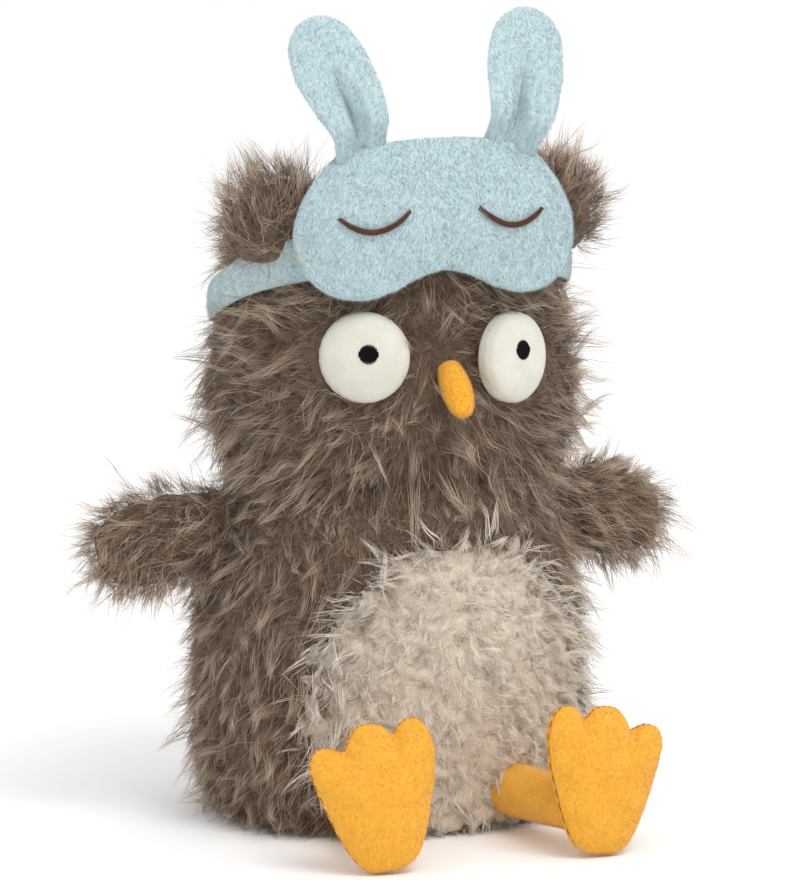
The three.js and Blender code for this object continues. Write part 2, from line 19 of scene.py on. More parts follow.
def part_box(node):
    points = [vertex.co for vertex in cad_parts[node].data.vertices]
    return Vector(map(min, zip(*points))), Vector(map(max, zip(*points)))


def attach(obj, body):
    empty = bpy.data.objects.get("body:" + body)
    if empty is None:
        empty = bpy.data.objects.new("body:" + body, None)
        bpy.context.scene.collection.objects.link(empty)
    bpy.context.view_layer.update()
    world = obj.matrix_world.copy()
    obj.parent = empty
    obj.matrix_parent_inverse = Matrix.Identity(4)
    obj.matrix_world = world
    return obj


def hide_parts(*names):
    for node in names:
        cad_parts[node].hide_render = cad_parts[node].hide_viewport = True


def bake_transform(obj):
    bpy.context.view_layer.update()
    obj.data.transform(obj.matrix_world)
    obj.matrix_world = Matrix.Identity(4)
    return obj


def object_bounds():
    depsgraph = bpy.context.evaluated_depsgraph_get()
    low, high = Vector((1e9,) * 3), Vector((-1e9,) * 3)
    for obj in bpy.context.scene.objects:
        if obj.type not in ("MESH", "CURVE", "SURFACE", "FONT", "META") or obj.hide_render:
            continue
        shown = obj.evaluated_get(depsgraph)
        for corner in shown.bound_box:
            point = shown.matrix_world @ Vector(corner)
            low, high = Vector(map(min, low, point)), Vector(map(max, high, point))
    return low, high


LOG = logging.getLogger("plush_owl")
MM = 0.001
TINY = 1e-9
TURN = 2 * math.pi
UP = np.array([0.0, 0.0, 1.0])
ACROSS = np.array([1.0, 0.0, 0.0])
AHEAD = np.array([0.0, -1.0, 0.0])

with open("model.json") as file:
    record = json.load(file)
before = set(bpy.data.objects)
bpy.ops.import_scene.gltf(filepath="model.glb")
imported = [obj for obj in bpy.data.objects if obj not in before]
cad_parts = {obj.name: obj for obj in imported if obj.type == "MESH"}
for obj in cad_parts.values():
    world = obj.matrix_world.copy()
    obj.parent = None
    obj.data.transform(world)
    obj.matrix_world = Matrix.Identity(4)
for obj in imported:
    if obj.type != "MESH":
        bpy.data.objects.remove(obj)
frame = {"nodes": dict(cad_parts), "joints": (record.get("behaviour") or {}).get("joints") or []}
CAD_BOX = [list(corner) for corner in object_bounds()]

Obj = bpy.types.Object
Rows = np.ndarray
Shares = tuple[tuple[float, float], ...]
Obstacles = Sequence[tuple[Obj, float]]
Rule = Callable[[Rows, Rows], Rows]
Flow = Callable[[Rows, Rows], Rows]
Keep = Callable[[Rows, Rows], Rows]
Lengths = Callable[[Rows], Rows]
Swell = Callable[[Rows], Rows]


class Slot(Enum):
    """The record's material slots."""

    BROWN = "brown_pile"
    CREAM = "cream_pile"
    SEAT = "seat_cloth"
    BLUE = "blue_plush"
    ORANGE = "orange_plush"
    BEAK = "beak_plush"
    EYE = "eye_cloth"
    BLACK = "black_thread"
    LID = "brown_thread"
    FIBRE = "fibre"
    POUCH = "pouch_cloth"


class Side(Enum):
    """The owl's own left and right, as the sign of X."""

    LEFT = 1
    RIGHT = -1

    @property
    def word(self) -> str:
        """The side's name in the names of nodes, bodies and joints."""
        return self.name.lower()


# Vectors and curves


def unit(rows: Rows) -> Rows:
    """Rows scaled to length one."""
    return rows / np.maximum(np.linalg.norm(rows, axis=-1, keepdims=True), TINY)


def smooth(values: Rows, low: float, high: float) -> Rows:
    """A soft step from 0 at one value to 1 at another."""
    share = np.clip((values - low) / (high - low), 0.0, 1.0)
    return share * share * (3 - 2 * share)


def turned(points: Rows, axis: Rows, degrees: float) -> Rows:
    """Points turned right-handed about a unit axis through the origin."""
    angle = math.radians(degrees)
    along = (points @ axis)[..., None] * axis
    return points * math.cos(angle) + np.cross(axis, points) * math.sin(angle) + along * (1 - math.cos(angle))


def aimed(points: Rows, seat: Rows, out: Rows) -> Rows:
    """Points of a form about Z, set on a seat with their Z along a unit direction and their Y upmost."""
    side = unit(np.cross(UP, out))
    top = np.cross(out, side)
    return seat + points[..., :1] * side + points[..., 1:2] * top + points[..., 2:3] * out


def curve(points: Sequence[Sequence[float]], shares: Rows, closed: bool = False) -> Rows:
    """Points on a smooth line through given ones.

    Args:
        points: the given points.
        shares: places along the line, from 0 to 1.
        closed: whether the line ends where it starts.

    Returns:
        One row for each share.
    """
    given = np.asarray(points, float)
    count = len(given)
    place = np.clip(shares, 0.0, 1.0) * (count if closed else count - 1)
    first = np.minimum(place.astype(int), count - 1 if closed else count - 2)
    part = (place - first)[:, None]
    rows = [first + step for step in (-1, 0, 1, 2)]
    a, b, c, d = (given[row % count if closed else np.clip(row, 0, count - 1)] for row in rows)
    lean, next_lean = (c - a) / 2, (d - b) / 2
    cubic = 2 * b - 2 * c + lean + next_lean
    square = 3 * c - 3 * b - 2 * lean - next_lean
    return cubic * part**3 + square * part**2 + lean * part + b


def ripple(points: Rows, length: float, seed: int, waves: int = 6) -> Rows:
    """Smooth values from about -1 to 1.

    Args:
        points: the places.
        length: about how long the waves are.
        seed: picks the waves.
        waves: how many are added up.

    Returns:
        A value for each place.
    """
    rng = np.random.default_rng(seed)
    total = np.zeros(points.shape[:-1])
    for _ in range(waves):
        way = unit(rng.normal(size=3)) * TURN / (length * rng.uniform(0.7, 1.6))
        total += np.sin(points @ way + rng.uniform(0, TURN))
    return total * math.sqrt(2 / waves) / 1.4


def steady(way: Rows) -> Flow:
    """A flow that is the same everywhere."""
    return lambda points, normals: np.broadcast_to(way, points.shape)


def everywhere(points: Rows, normals: Rows) -> Rows:
    """Keeps every place."""
    return np.ones(len(points), bool)


def kd_tree(points: Rows) -> KDTree:
    """A search tree of points."""
    tree = KDTree(len(points))
    for i, point in enumerate(points):
        tree.insert(point, i)
    tree.balance()
    return tree


# Meshes


def read(mesh: bpy.types.Mesh, name: str) -> Rows:
    """A vector of each vertex."""
    rows = np.empty(len(mesh.vertices) * 3, np.float32)
    mesh.vertices.foreach_get(name, rows)
    return rows.reshape(-1, 3).astype(float)


def points_of(obj: Obj) -> Rows:
    """An object's vertices in millimetres."""
    return read(obj.data, "co") / MM


def move_points(obj: Obj, points: Rows) -> None:
    """Puts an object's vertices at places in millimetres."""
    obj.data.vertices.foreach_set("co", (points * MM).astype(np.float32).ravel())
    obj.data.update()


def box_of(*nodes: str) -> tuple[Rows, Rows]:
    """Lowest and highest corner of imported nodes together, in millimetres."""
    corners = [np.array(corner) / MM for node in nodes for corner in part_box(node)]
    return np.min(corners, axis=0), np.max(corners, axis=0)


def pivot_of(joint: str) -> Rows:
    """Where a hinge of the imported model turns, in millimetres."""
    found = next(entry for entry in frame["joints"] if entry["name"] == joint)
    return np.array(found["pos_m"]) / MM


def tree_of(obj: Obj) -> BVHTree:
    """A search tree of an object's faces, in millimetres."""
    return BVHTree.FromPolygons(
        [tuple(row) for row in points_of(obj)], [tuple(face.vertices) for face in obj.data.polygons]
    )


def hit(tree: BVHTree, start: Rows, way: Rows) -> Rows:
    """First point of a form that a straight line meets."""
    return np.array(tree.ray_cast(Vector(start), Vector(way))[0])


def seat_on_front(tree: BVHTree, x: float, z: float) -> Rows:
    """The point of a form's front straight behind a place far ahead of it."""
    return hit(tree, np.array([x, box_of("foot_sole_left")[0][1] * 2, z]), -AHEAD)


def linked(name: str, data: bpy.types.ID) -> Obj:
    """A new object of the scene with its mesh, camera or light."""
    obj = bpy.data.objects.new(name, data)
    data.name = name
    bpy.context.scene.collection.objects.link(obj)
    return obj


def select_only(obj: Obj) -> None:
    """Makes an object the only one selected, and the active one."""
    bpy.ops.object.select_all(action="DESELECT")
    obj.select_set(True)
    bpy.context.view_layer.objects.active = obj


def apply(obj: Obj, kind: str, **settings: object) -> None:
    """Adds a modifier and applies it.

    Args:
        obj: the object.
        kind: the modifier's type.
        settings: its settings.
    """
    select_only(obj)
    modifier = obj.modifiers.new(kind.title(), kind)
    for name, value in settings.items():
        setattr(modifier, name, value)
    bpy.ops.object.modifier_apply(modifier=modifier.name)


def close_up(obj: Obj) -> None:
    """Merges doubled points and turns the faces outwards, smooth shaded."""
    select_only(obj)
    bpy.ops.object.mode_set(mode="EDIT")
    bpy.ops.mesh.select_all(action="SELECT")
    bpy.ops.mesh.remove_doubles(threshold=1e-6)
    bpy.ops.mesh.normals_make_consistent(inside=False)
    bpy.ops.object.mode_set(mode="OBJECT")
    bpy.ops.object.shade_smooth()


def ball(name: str, segments: int, rings: int, rule: Rule) -> Obj:
    """A sphere drawn out into a closed form.

    Args:
        name: the piece's name.
        segments: faces round it.
        rings: faces from pole to pole.
        rule: gives the places, from each point's azimuth as a share of a turn and its share of the way up.

    Returns:
        The form's object.
    """
    bpy.ops.object.select_all(action="DESELECT")
    bpy.ops.mesh.primitive_uv_sphere_add(segments=segments, ring_count=rings, radius=1.0)
    obj = bpy.context.object
    obj.name = obj.data.name = name
    rows = read(obj.data, "co")
    azimuth = (np.arctan2(rows[:, 1], rows[:, 0]) / TURN) % 1.0
    share = 1 - np.arccos(np.clip(rows[:, 2], -1, 1)) / math.pi
    move_points(obj, rule(azimuth, share))
    while obj.data.uv_layers:
        obj.data.uv_layers.remove(obj.data.uv_layers[0])
    close_up(obj)
    return obj


def tubes(name: str, rings: Rows) -> Obj:
    """Closed tubes with flat ends, as one piece.

    Args:
        name: the piece's name.
        rings: an array of tubes, rings, points and coordinates.

    Returns:
        The piece.
    """
    count, length, around = rings.shape[:3]
    faces = []
    for base in range(0, count * length * around, length * around):
        last = base + (length - 1) * around
        for start in range(base, last, around):
            for k in range(around):
                a, b = start + k, start + (k + 1) % around
                faces.append((a, b, b + around, a + around))
        faces += [tuple(reversed(range(base, base + around))), tuple(range(last, last + around))]
    mesh = bpy.data.meshes.new(name)
    mesh.from_pydata([tuple(row * MM) for row in rings.reshape(-1, 3)], [], faces)
    obj = linked(name, mesh)
    close_up(obj)
    return obj


def threads(name: str, lines: Rows, radius: float, sides: int = 6, end_share: float = 0.35) -> Obj:
    """Closed round threads along lines, thinner at their ends, as one piece.

    Args:
        name: the piece's name.
        lines: an array of lines, points and coordinates.
        radius: a thread's radius.
        sides: faces round a thread.
        end_share: its radius at the ends, as a share.

    Returns:
        The piece.
    """
    way = unit(np.gradient(lines, axis=1))
    side = unit(np.cross(way, AHEAD + 0.01))
    other = np.cross(way, side)
    taper = np.ones(lines.shape[1])
    taper[[0, -1]] = end_share
    angle = TURN * np.arange(sides) / sides
    ring = side[:, :, None] * np.cos(angle)[:, None] + other[:, :, None] * np.sin(angle)[:, None]
    return tubes(name, lines[:, :, None] + ring * (radius * taper)[None, :, None, None])


def two_sided(obj: Obj, name: str) -> dict[Side, Obj]:
    """Pairs a left piece with its mirror image, each with its own mesh.

    Args:
        obj: the left piece.
        name: the name that the sides' names are added to.

    Returns:
        Both pieces by side.
    """
    obj.name = obj.data.name = f"{name}_left"
    other = linked(f"{name}_right", obj.data.copy())
    move_points(other, points_of(other) * np.array([-1.0, 1.0, 1.0]))
    other.data.flip_normals()
    return {Side.LEFT: obj, Side.RIGHT: other}


# Forms


@dataclass(frozen=True)
class Profile:
    """A turned outline as shares of a radius and a height, with an elliptic or soft-box section."""

    shares: Shares
    squareness: float = 2.0
    end_share: float = 0.08

    def at(self, azimuth: Rows, share: Rows, half: Sequence[float], height: float) -> Rows:
        """Places on the form.

        Args:
            azimuth: shares of a turn.
            share: shares of the way from the bottom's middle to the top's.
            half: half of the width and of the depth.
            height: the form's height, from zero.

        Returns:
            Rows of x, y, z.
        """
        ends, power, angle = self.end_share, self.squareness, azimuth * TURN
        outline = curve(self.shares, (share - ends) / (1 - 2 * ends))
        reach = np.minimum(1.0, np.minimum(share, 1 - share) / ends)
        corner = (np.abs(np.cos(angle)) ** power + np.abs(np.sin(angle)) ** power) ** (-1 / power)
        radius = np.maximum(outline[:, 0], 0) * reach * corner
        x, y = half[0] * radius * np.cos(angle), half[1] * radius * np.sin(angle)
        return np.stack([x, y, height * outline[:, 1]], axis=1)


@dataclass(frozen=True)
class Pad:
    """A stuffed pad with a seam along a closed outline in XY and a crown along Z."""

    outline: Shares
    width: float
    height: float
    crown: float
    middle_share: float = 0.0
    fullness: float = 0.6

    def middle(self) -> Rows:
        """The pad's middle in XY."""
        return np.array([0.0, self.middle_share * self.height])

    def at(self, azimuth: Rows, share: Rows) -> Rows:
        """Places on the pad, from shares of a turn and of the way from its back to its front."""
        edge = curve(self.outline, azimuth, closed=True) * (self.width, self.height)
        reach = np.sin(share * math.pi).clip(0)[:, None] ** self.fullness
        flat = self.middle() + (edge - self.middle()) * reach
        return np.column_stack([flat, -self.crown * np.cos(share * math.pi)])


SEAM_GAP = 0.3
SEAM_PULL = 0.7
SEAM_WIDTH = 0.9


def half_shell(pad: Pad, cloth: float, sign: int) -> Rule:
    """The rule of one cloth half of a pad, up to a fine gap at its seam, which is drawn in.

    Args:
        pad: the whole pad.
        cloth: the cloth's thickness.
        sign: 1 for the half towards Z, -1 for the other.

    Returns:
        A rule whose upper half is the outside and whose lower half the inside.
    """
    inner = replace(pad, width=pad.width - 2 * cloth, height=pad.height - 2 * cloth, crown=pad.crown - cloth)

    def rule(azimuth: Rows, share: Rows) -> Rows:
        """Places on the half."""
        outer = (share >= 0.5 - TINY)[:, None]
        rows = np.where(outer, pad.at(azimuth, share), inner.at(azimuth, 1 - share))
        drawn = SEAM_PULL * np.exp(-((rows[:, 2:] / SEAM_WIDTH) ** 2)) * outer
        rows[:, :2] -= unit(rows[:, :2] - pad.middle()) * drawn
        rows[:, 2] = np.maximum(rows[:, 2], SEAM_GAP / 2) * sign
        return rows

    return rule


BAG_LUMPS, BAG_LUMP_LENGTH = 0.5, 30
LOWEST = 1.9


def bag(name: str, profile: Profile, nodes: Sequence[str], insets: tuple[float, float], seed: int) -> Obj:
    """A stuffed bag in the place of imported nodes, softly lumpy and just above the seat panel.

    Args:
        name: the piece's name.
        profile: its form.
        nodes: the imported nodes.
        insets: how much less than them it is at its sides and on top.
        seed: picks the lumps.

    Returns:
        The bag.
    """
    low, high = box_of(*nodes)
    half, seat = (high - low)[:2] / 2 - insets[0], np.append((low + high)[:2] / 2, low[2])
    obj = ball(name, 216, 84, lambda a, s: profile.at(a, s, half, high[2] - low[2] - insets[1]) + seat)
    points = points_of(obj)
    points += read(obj.data, "normal") * (BAG_LUMPS * ripple(points, BAG_LUMP_LENGTH, seed))[:, None]
    points[:, 2] = np.maximum(points[:, 2], LOWEST)
    move_points(obj, points)
    return obj


@dataclass(frozen=True)
class Stuffing:
    """How a sewn cover swells when it is stuffed, by cloth simulation at a larger scale."""

    voxel: float
    pressure: float
    excess_share: float
    cap: float
    held: float = 1.0
    frames: int = 20
    scale: float = 6.0
    softness: float = 0.3

    def swell(self, form: Obj) -> Swell:
        """Blows up a flat closed form whose seam lies in XY, and removes it.

        Args:
            form: the form.

        Returns:
            A rule that moves places as the cloth moved, up to the cap.
        """
        move_points(form, points_of(form) * self.scale)
        apply(form, "REMESH", mode="VOXEL", voxel_size=self.voxel * self.scale * MM)
        rest = points_of(form) / self.scale
        seam = form.vertex_groups.new(name="seam")
        seam.add([int(i) for i in np.nonzero(np.abs(rest[:, 2]) < self.held)[0]], 1.0, "REPLACE")
        cloth = form.modifiers.new("Cloth", "CLOTH")
        cloth.settings.vertex_group_mass = seam.name
        cloth.settings.use_pressure = True
        cloth.settings.uniform_pressure_force = self.pressure
        cloth.settings.shrink_min = -self.excess_share
        cloth.settings.effector_weights.gravity = 0.0
        cloth.point_cache.frame_end = self.frames
        for step in range(1, self.frames + 1):
            bpy.context.scene.frame_set(step)
        select_only(form)
        bpy.ops.object.modifier_apply(modifier=cloth.name)
        moved = points_of(form) / self.scale - rest
        bpy.context.scene.frame_set(1)
        bpy.data.objects.remove(form)
        most = float(np.linalg.norm(moved, axis=1).max())
        moved *= min(1.0, self.cap / max(most, TINY))
        LOG.info("swollen: %d points, %.2f mm most, kept to %.2f", len(rest), most, self.cap)
        tree = kd_tree(rest)

        def rule(points: Rows) -> Rows:
            """Places moved with the cloth nearest to them."""
            found = [tree.find_n(point, 5) for point in points]
            index = np.array([[near[1] for near in row] for row in found])
            weight = 1 / (np.array([[near[2] for near in row] for row in found]) + self.softness) ** 2
            return points + (moved[index] * weight[:, :, None]).sum(1) / weight.sum(1, keepdims=True)

        return rule


# Pile


@dataclass(frozen=True)
class Pile:
    """How a plush's pile grows: lengths in millimetres, the rest shares.

    Strands draw together in locks, but for loose ones, which lie alone, and stray ones, which stand off.
    """

    density: float
    length: float
    radius: float
    spread_share: float
    lift_share: float
    lock: float
    draw_share: float
    loose_share: float
    stray_share: float
    droop_share: float
    frizz: float
    wave: float
    turns: float
    points: int
    mottle: float
    tone: float = 0.5


# Real fibres, about 0.02 mm thick, are too fine to show, so strands are drawn five to ten times coarser.
WOOL = Pile(
    density=0.95, length=7.0, radius=0.14, spread_share=0.3, lift_share=0.48, lock=4.0, draw_share=0.5,
    loose_share=0.25, stray_share=0.03, droop_share=0.1, frizz=0.9, wave=0.8, turns=0.9, points=3,
    mottle=1.3,
)
HAIR = Pile(
    density=0.33, length=17.0, radius=0.1, spread_share=0.3, lift_share=0.38, lock=6.0, draw_share=0.9,
    loose_share=0.15, stray_share=0.04, droop_share=0.2, frizz=0.6, wave=2.2, turns=0.8, points=4,
    mottle=1.3,
)
PLUSH = Pile(
    density=4.2, length=1.25, radius=0.055, spread_share=0.2, lift_share=0.34, lock=1.8, draw_share=0.3,
    loose_share=0.85, stray_share=0.02, droop_share=0.1, frizz=0.1, wave=0.05, turns=0.5, points=2,
    mottle=0.2,
)


@dataclass
class Strands:
    """Grown strands: each one's points from root to tip, root radius and tone from 0 to 1."""

    points: Rows
    radius: Rows
    tone: Rows

    def where(self, keep: Rows) -> Strands:
        """The strands that a mask keeps."""
        return Strands(self.points[keep], self.radius[keep], self.tone[keep])

    def above(self, clearance: float) -> Strands:
        """The strands with those that reach the floor laid on it, spread out."""
        self.points[..., 2] = np.maximum(self.points[..., 2], clearance)
        return self


@dataclass
class Skin:
    """The surface that a pile grows from."""

    corners: Rows
    normals: Rows
    areas: Rows

    @classmethod
    def of(cls, obj: Obj) -> Skin:
        """Reads an object's triangles and smooth normals, in millimetres."""
        mesh = obj.data
        mesh.calc_loop_triangles()
        index = np.empty(len(mesh.loop_triangles) * 3, np.int32)
        mesh.loop_triangles.foreach_get("vertices", index)
        index = index.reshape(-1, 3)
        corners = points_of(obj)[index]
        across = np.cross(corners[:, 1] - corners[:, 0], corners[:, 2] - corners[:, 0])
        return cls(corners, read(mesh, "normal")[index], np.linalg.norm(across, axis=1) / 2)

    def scatter(self, density: float, rng: np.random.Generator) -> tuple[Rows, Rows]:
        """Picks even random places on the skin.

        Args:
            density: how many there are to a square millimetre.
            rng: the source of randomness.

        Returns:
            The places and the unit normals there.
        """
        count = int(self.areas.sum() * density)
        face = rng.choice(len(self.areas), count, p=self.areas / self.areas.sum())
        a, b = rng.random(count), rng.random(count)
        over = a + b > 1
        a[over], b[over] = 1 - a[over], 1 - b[over]
        weights = np.stack([1 - a - b, a, b], axis=1)[:, :, None]
        return (self.corners[face] * weights).sum(1), unit((self.normals[face] * weights).sum(1))


def combed(flow: Flow, swirl: float, length: float, seed: int) -> Flow:
    """A flow laid on the surface and swirled.

    Args:
        flow: the flow.
        swirl: about how many degrees it swirls by.
        length: over what length it does.
        seed: picks the swirls.

    Returns:
        The swirled flow.
    """

    def lay(points: Rows, normals: Rows) -> Rows:
        """The swirled flow at places with their normals."""
        way = flow(points, normals)
        way = unit(way - (way * normals).sum(1, keepdims=True) * normals)
        angle = np.radians(swirl) * ripple(points, length, seed)[:, None]
        return way * np.cos(angle) + np.cross(normals, way) * np.sin(angle)

    return lay


def nearest(points: Rows, guides: Rows) -> Rows:
    """The index of the nearest guide for each point."""
    tree = kd_tree(guides)
    return np.array([tree.find(point)[1] for point in points], int)


LIFT_SPREAD, LIFT_LIMITS = 0.15, (0.12, 0.95)
JITTER, BEND = 0.7, 0.9
WIDEST_SPREAD, OWN_SPREAD = 2, 0.6
LOCK_SCALES, ROOT_RADII, TONE_LIMITS = (0.8, 1.12), (0.7, 1.2), (0.02, 0.96)
STRAY_RISE = 0.35
LOCK_TONE, OWN_TONE, AREA_TONE, TONE_AREA = 0.14, 0.1, 0.1, 14


def paths(roots: Rows, normals: Rows, way: Rows, pile: Pile, length: Rows, rng: np.random.Generator) -> Rows:
    """Bent lines from roots: they leave the cloth, lie over along the flow and hang.

    Args:
        roots: where they start.
        normals: the cloth's unit normals there.
        way: the unit flow there.
        pile: how the pile grows.
        length: each one's length.
        rng: the source of randomness.

    Returns:
        An array of lines, points and coordinates.
    """
    count, steps = len(roots), pile.points - 1
    lift = np.clip(pile.lift_share + LIFT_SPREAD * rng.normal(size=(count, 1)), *LIFT_LIMITS)
    jitter = rng.normal(size=(count, 3)) * JITTER * pile.spread_share
    start = unit(normals * lift + way * (1 - lift) + jitter)
    pull = way * 0.5 + jitter - UP * pile.droop_share
    side = unit(np.cross(normals, way + TINY)) * rng.normal(size=(count, 1)) * pile.wave
    phase = rng.uniform(0, TURN, (count, 1))
    lines = [roots]
    for k in range(steps):
        heading = unit(start + pull * (k / max(steps - 1, 1)) * BEND)
        lines.append(lines[-1] + heading * (length / steps)[:, None])
    for k in range(1, pile.points):
        share = k / steps
        swing = np.sin(TURN * pile.turns * share + phase) - np.sin(phase)
        lines[k] = lines[k] + side * swing * share
    return np.stack(lines, axis=1)


def grow(
    skin: Skin,
    pile: Pile,
    flow: Flow,
    seed: int,
    keep: Keep = everywhere,
    lengths: Lengths | None = None,
    clumps: tuple[Rows, Rows] | None = None,
) -> Strands:
    """Grows a pile whose strands draw together into locks.

    Args:
        skin: the surface.
        pile: how the pile grows.
        flow: the way that it lies.
        seed: picks the strands.
        keep: tells where it grows.
        lengths: shares of the pile's length at places, one if left out.
        clumps: middles and normals of the locks, if they are given.

    Returns:
        The strands.
    """
    rng = np.random.default_rng(seed)
    roots, normals = skin.scatter(pile.density, rng)
    guides, guide_normals = clumps or skin.scatter(1 / pile.lock**2, rng)
    kept = keep(roots, normals)
    roots, normals = roots[kept], normals[kept]
    lengths = lengths or (lambda points: np.ones(len(points)))
    spread = 1 + pile.spread_share * rng.normal(size=len(guides)).clip(-WIDEST_SPREAD, WIDEST_SPREAD)
    reach = pile.length * lengths(guides) * spread
    guide_lines = paths(guides, guide_normals, flow(guides, guide_normals), pile, reach, rng)
    owner = nearest(roots, guides)
    chance = rng.normal(size=len(roots)).clip(-WIDEST_SPREAD, WIDEST_SPREAD)
    spread = 1 + OWN_SPREAD * pile.spread_share * chance
    own_lines = paths(roots, normals, flow(roots, normals), pile, pile.length * lengths(roots) * spread, rng)
    share = np.linspace(0, 1, pile.points)[None, :, None]
    apart = (roots - guides[owner])[:, None]
    scale = rng.uniform(*LOCK_SCALES, (len(roots), 1, 1))
    frizz = rng.normal(size=(len(roots), 1, 3)) * pile.frizz * share**1.5
    lock_lines = roots[:, None] + (guide_lines[owner] - guides[owner][:, None]) * scale
    lock_lines = lock_lines - apart * pile.draw_share * share**0.8 + frizz
    luck = rng.random(len(roots))[:, None, None]
    lines = np.where(luck < pile.loose_share, own_lines, lock_lines)
    stray_lines = own_lines + normals[:, None] * pile.length * STRAY_RISE * share
    lines = np.where(luck > 1 - pile.stray_share, stray_lines, lines)
    tone = LOCK_TONE * rng.normal(size=len(guides))[owner] + OWN_TONE * rng.normal(size=len(roots))
    tone = pile.tone + pile.mottle * (tone + AREA_TONE * ripple(roots, TONE_AREA, seed))
    return Strands(lines, pile.radius * rng.uniform(*ROOT_RADII, len(roots)), tone.clip(*TONE_LIMITS))


# How far a strand may stand outside the CAD part's box.
STRAY_REACH = (14.5, 13.0, 14.5)
LAID_SHARE, LAID_CLEARANCE = 0.6, 0.35


def within_reach(strands: Strands) -> Strands:
    """Drops the strands that stray too far beyond the CAD part's box."""
    low, high = np.array(CAD_BOX) / MM
    stays = (strands.points > low - STRAY_REACH) & (strands.points < high + STRAY_REACH)
    return strands.where(stays.all(axis=(1, 2)))


def outside(strands: Strands, obstacle: Obj, margin: float) -> Strands:
    """Drops the strands that run into another piece.

    Args:
        strands: the strands.
        obstacle: a closed piece.
        margin: how deep a strand may reach into it, or below zero, how far it stays off it.

    Returns:
        The strands that stay clear.
    """
    points, tree, rows = strands.points, tree_of(obstacle), points_of(obstacle)
    keep, reach = np.ones(len(points), bool), max(-margin, 0.0)
    near = ((points > rows.min(0) - reach) & (points < rows.max(0) + reach)).all(-1)
    for i, k in zip(*np.nonzero(near)):
        if keep[i]:
            point = Vector(points[i, k])
            place, normal, _, distance = tree.find_nearest(point)
            keep[i] = (distance if (point - place).dot(normal) < 0 else -distance) <= margin
    return strands.where(keep)


def draped(strands: Strands, obstacle: Obj) -> Strands:
    """Shortens the strands that meet a piece, so that only their tips lie over its edge.

    Args:
        strands: the strands.
        obstacle: a closed piece.

    Returns:
        The strands that are rooted outside it.
    """
    points, tree, rows = strands.points, tree_of(obstacle), points_of(obstacle)
    rooted, shortened = np.ones(len(points), bool), set()
    near = ((points > rows.min(0)) & (points < rows.max(0))).all(-1)
    for i, k in zip(*np.nonzero(near)):
        place, normal, _, _ = tree.find_nearest(Vector(points[i, k]))
        if (Vector(points[i, k]) - place).dot(normal) > 0:
            continue
        if k == 0:
            rooted[i] = False
        elif rooted[i]:
            if i not in shortened:
                shortened.add(i)
                points[i, k:] = points[i, k - 1] + (points[i, k:] - points[i, k - 1]) * LAID_SHARE
            place, normal, _, _ = tree.find_nearest(Vector(points[i, k]))
            if (Vector(points[i, k]) - place).dot(normal) < 0:
                points[i, k] = place + normal * LAID_CLEARANCE
    return strands.where(rooted)


CORNERS = 3
TIP_TAPER = 0.75
TONE_WIDTH = 0.01


def strand_faces(rings: int, pointed: bool) -> list[list[int]]:
    """The faces of one strand.

    Args:
        rings: how many three-cornered rings it has.
        pointed: whether its root is a point as its tip is, or else flat.

    Returns:
        Each face's corners.
    """
    following = [(j, (j + 1) % CORNERS) for j in range(CORNERS)]
    faces = [
        [k + j, k + after, k + CORNERS + after, k + CORNERS + j]
        for k in range(0, (rings - 1) * CORNERS, CORNERS)
        for j, after in following
    ]
    last, tip = (rings - 1) * CORNERS, rings * CORNERS
    faces += [[last + j, last + after, tip] for j, after in following]
    return faces + ([[after, j, tip + 1] for j, after in following] if pointed else [[2, 1, 0]])


def strand_piece(name: str, strands: Strands) -> Obj:
    """A mesh of three-sided tapered strands, closed at root and tip, with a pointed root where they bend.

    Its map has the tone across and the share from root to tip upwards.

    Args:
        name: the piece's name.
        strands: what to draw.

    Returns:
        The piece.
    """
    lines = strands.points
    count, length = lines.shape[:2]
    pointed = length > 2
    ringed = np.arange(1 if pointed else 0, length - 1)
    way = unit(np.gradient(lines, axis=1))
    side = unit(np.cross(way, unit(np.random.default_rng(count).normal(size=(count, 1, 3)))))
    other = np.cross(way, side)
    taper = 1 - TIP_TAPER * (ringed / (length - 1)) ** 1.4
    radius = strands.radius[:, None, None] * taper[None, :, None]
    corners = []
    for angle in (TURN * k / CORNERS for k in range(CORNERS)):
        across = math.cos(angle) * side[:, ringed] + math.sin(angle) * other[:, ringed]
        corners.append(lines[:, ringed] + radius * across)
    tip = len(ringed) * CORNERS
    ends = [lines[:, -1:], lines[:, :1]] if pointed else [lines[:, -1:]]
    vertices = np.concatenate([np.stack(corners, axis=2).reshape(count, tip, 3), *ends], axis=1)
    faces = strand_faces(len(ringed), pointed)
    template = np.array([corner for face in faces for corner in face])
    heights = np.append(np.repeat(ringed, CORNERS), [length - 1, 0][: len(ends)])[template] / (length - 1)
    turns = np.array([corner % CORNERS if corner < tip else 1.0 for corner in template])
    starts = np.cumsum([0] + [len(face) for face in faces])
    mesh = bpy.data.meshes.new(name)
    mesh.vertices.add(count * vertices.shape[1])
    mesh.vertices.foreach_set("co", (vertices * MM).astype(np.float32).ravel())
    mesh.loops.add(count * len(template))
    loops = template[None] + (np.arange(count) * vertices.shape[1])[:, None]
    mesh.loops.foreach_set("vertex_index", loops.astype(np.int32).ravel())
    mesh.polygons.add(count * len(faces))
    firsts = starts[None, :-1] + (np.arange(count) * len(template))[:, None]
    mesh.polygons.foreach_set("loop_start", firsts.astype(np.int32).ravel())
    mesh.update(calc_edges=True)
    mesh.polygons.foreach_set("use_smooth", np.ones(len(mesh.polygons), bool))
    across = strands.tone[:, None] + turns[None] * TONE_WIDTH
    places = np.stack([across, np.broadcast_to(heights[None], across.shape)], axis=-1)
    mesh.uv_layers.new(name="OFBake").data.foreach_set("uv", places.astype(np.float32).ravel())
    return linked(name, mesh)


# Materials


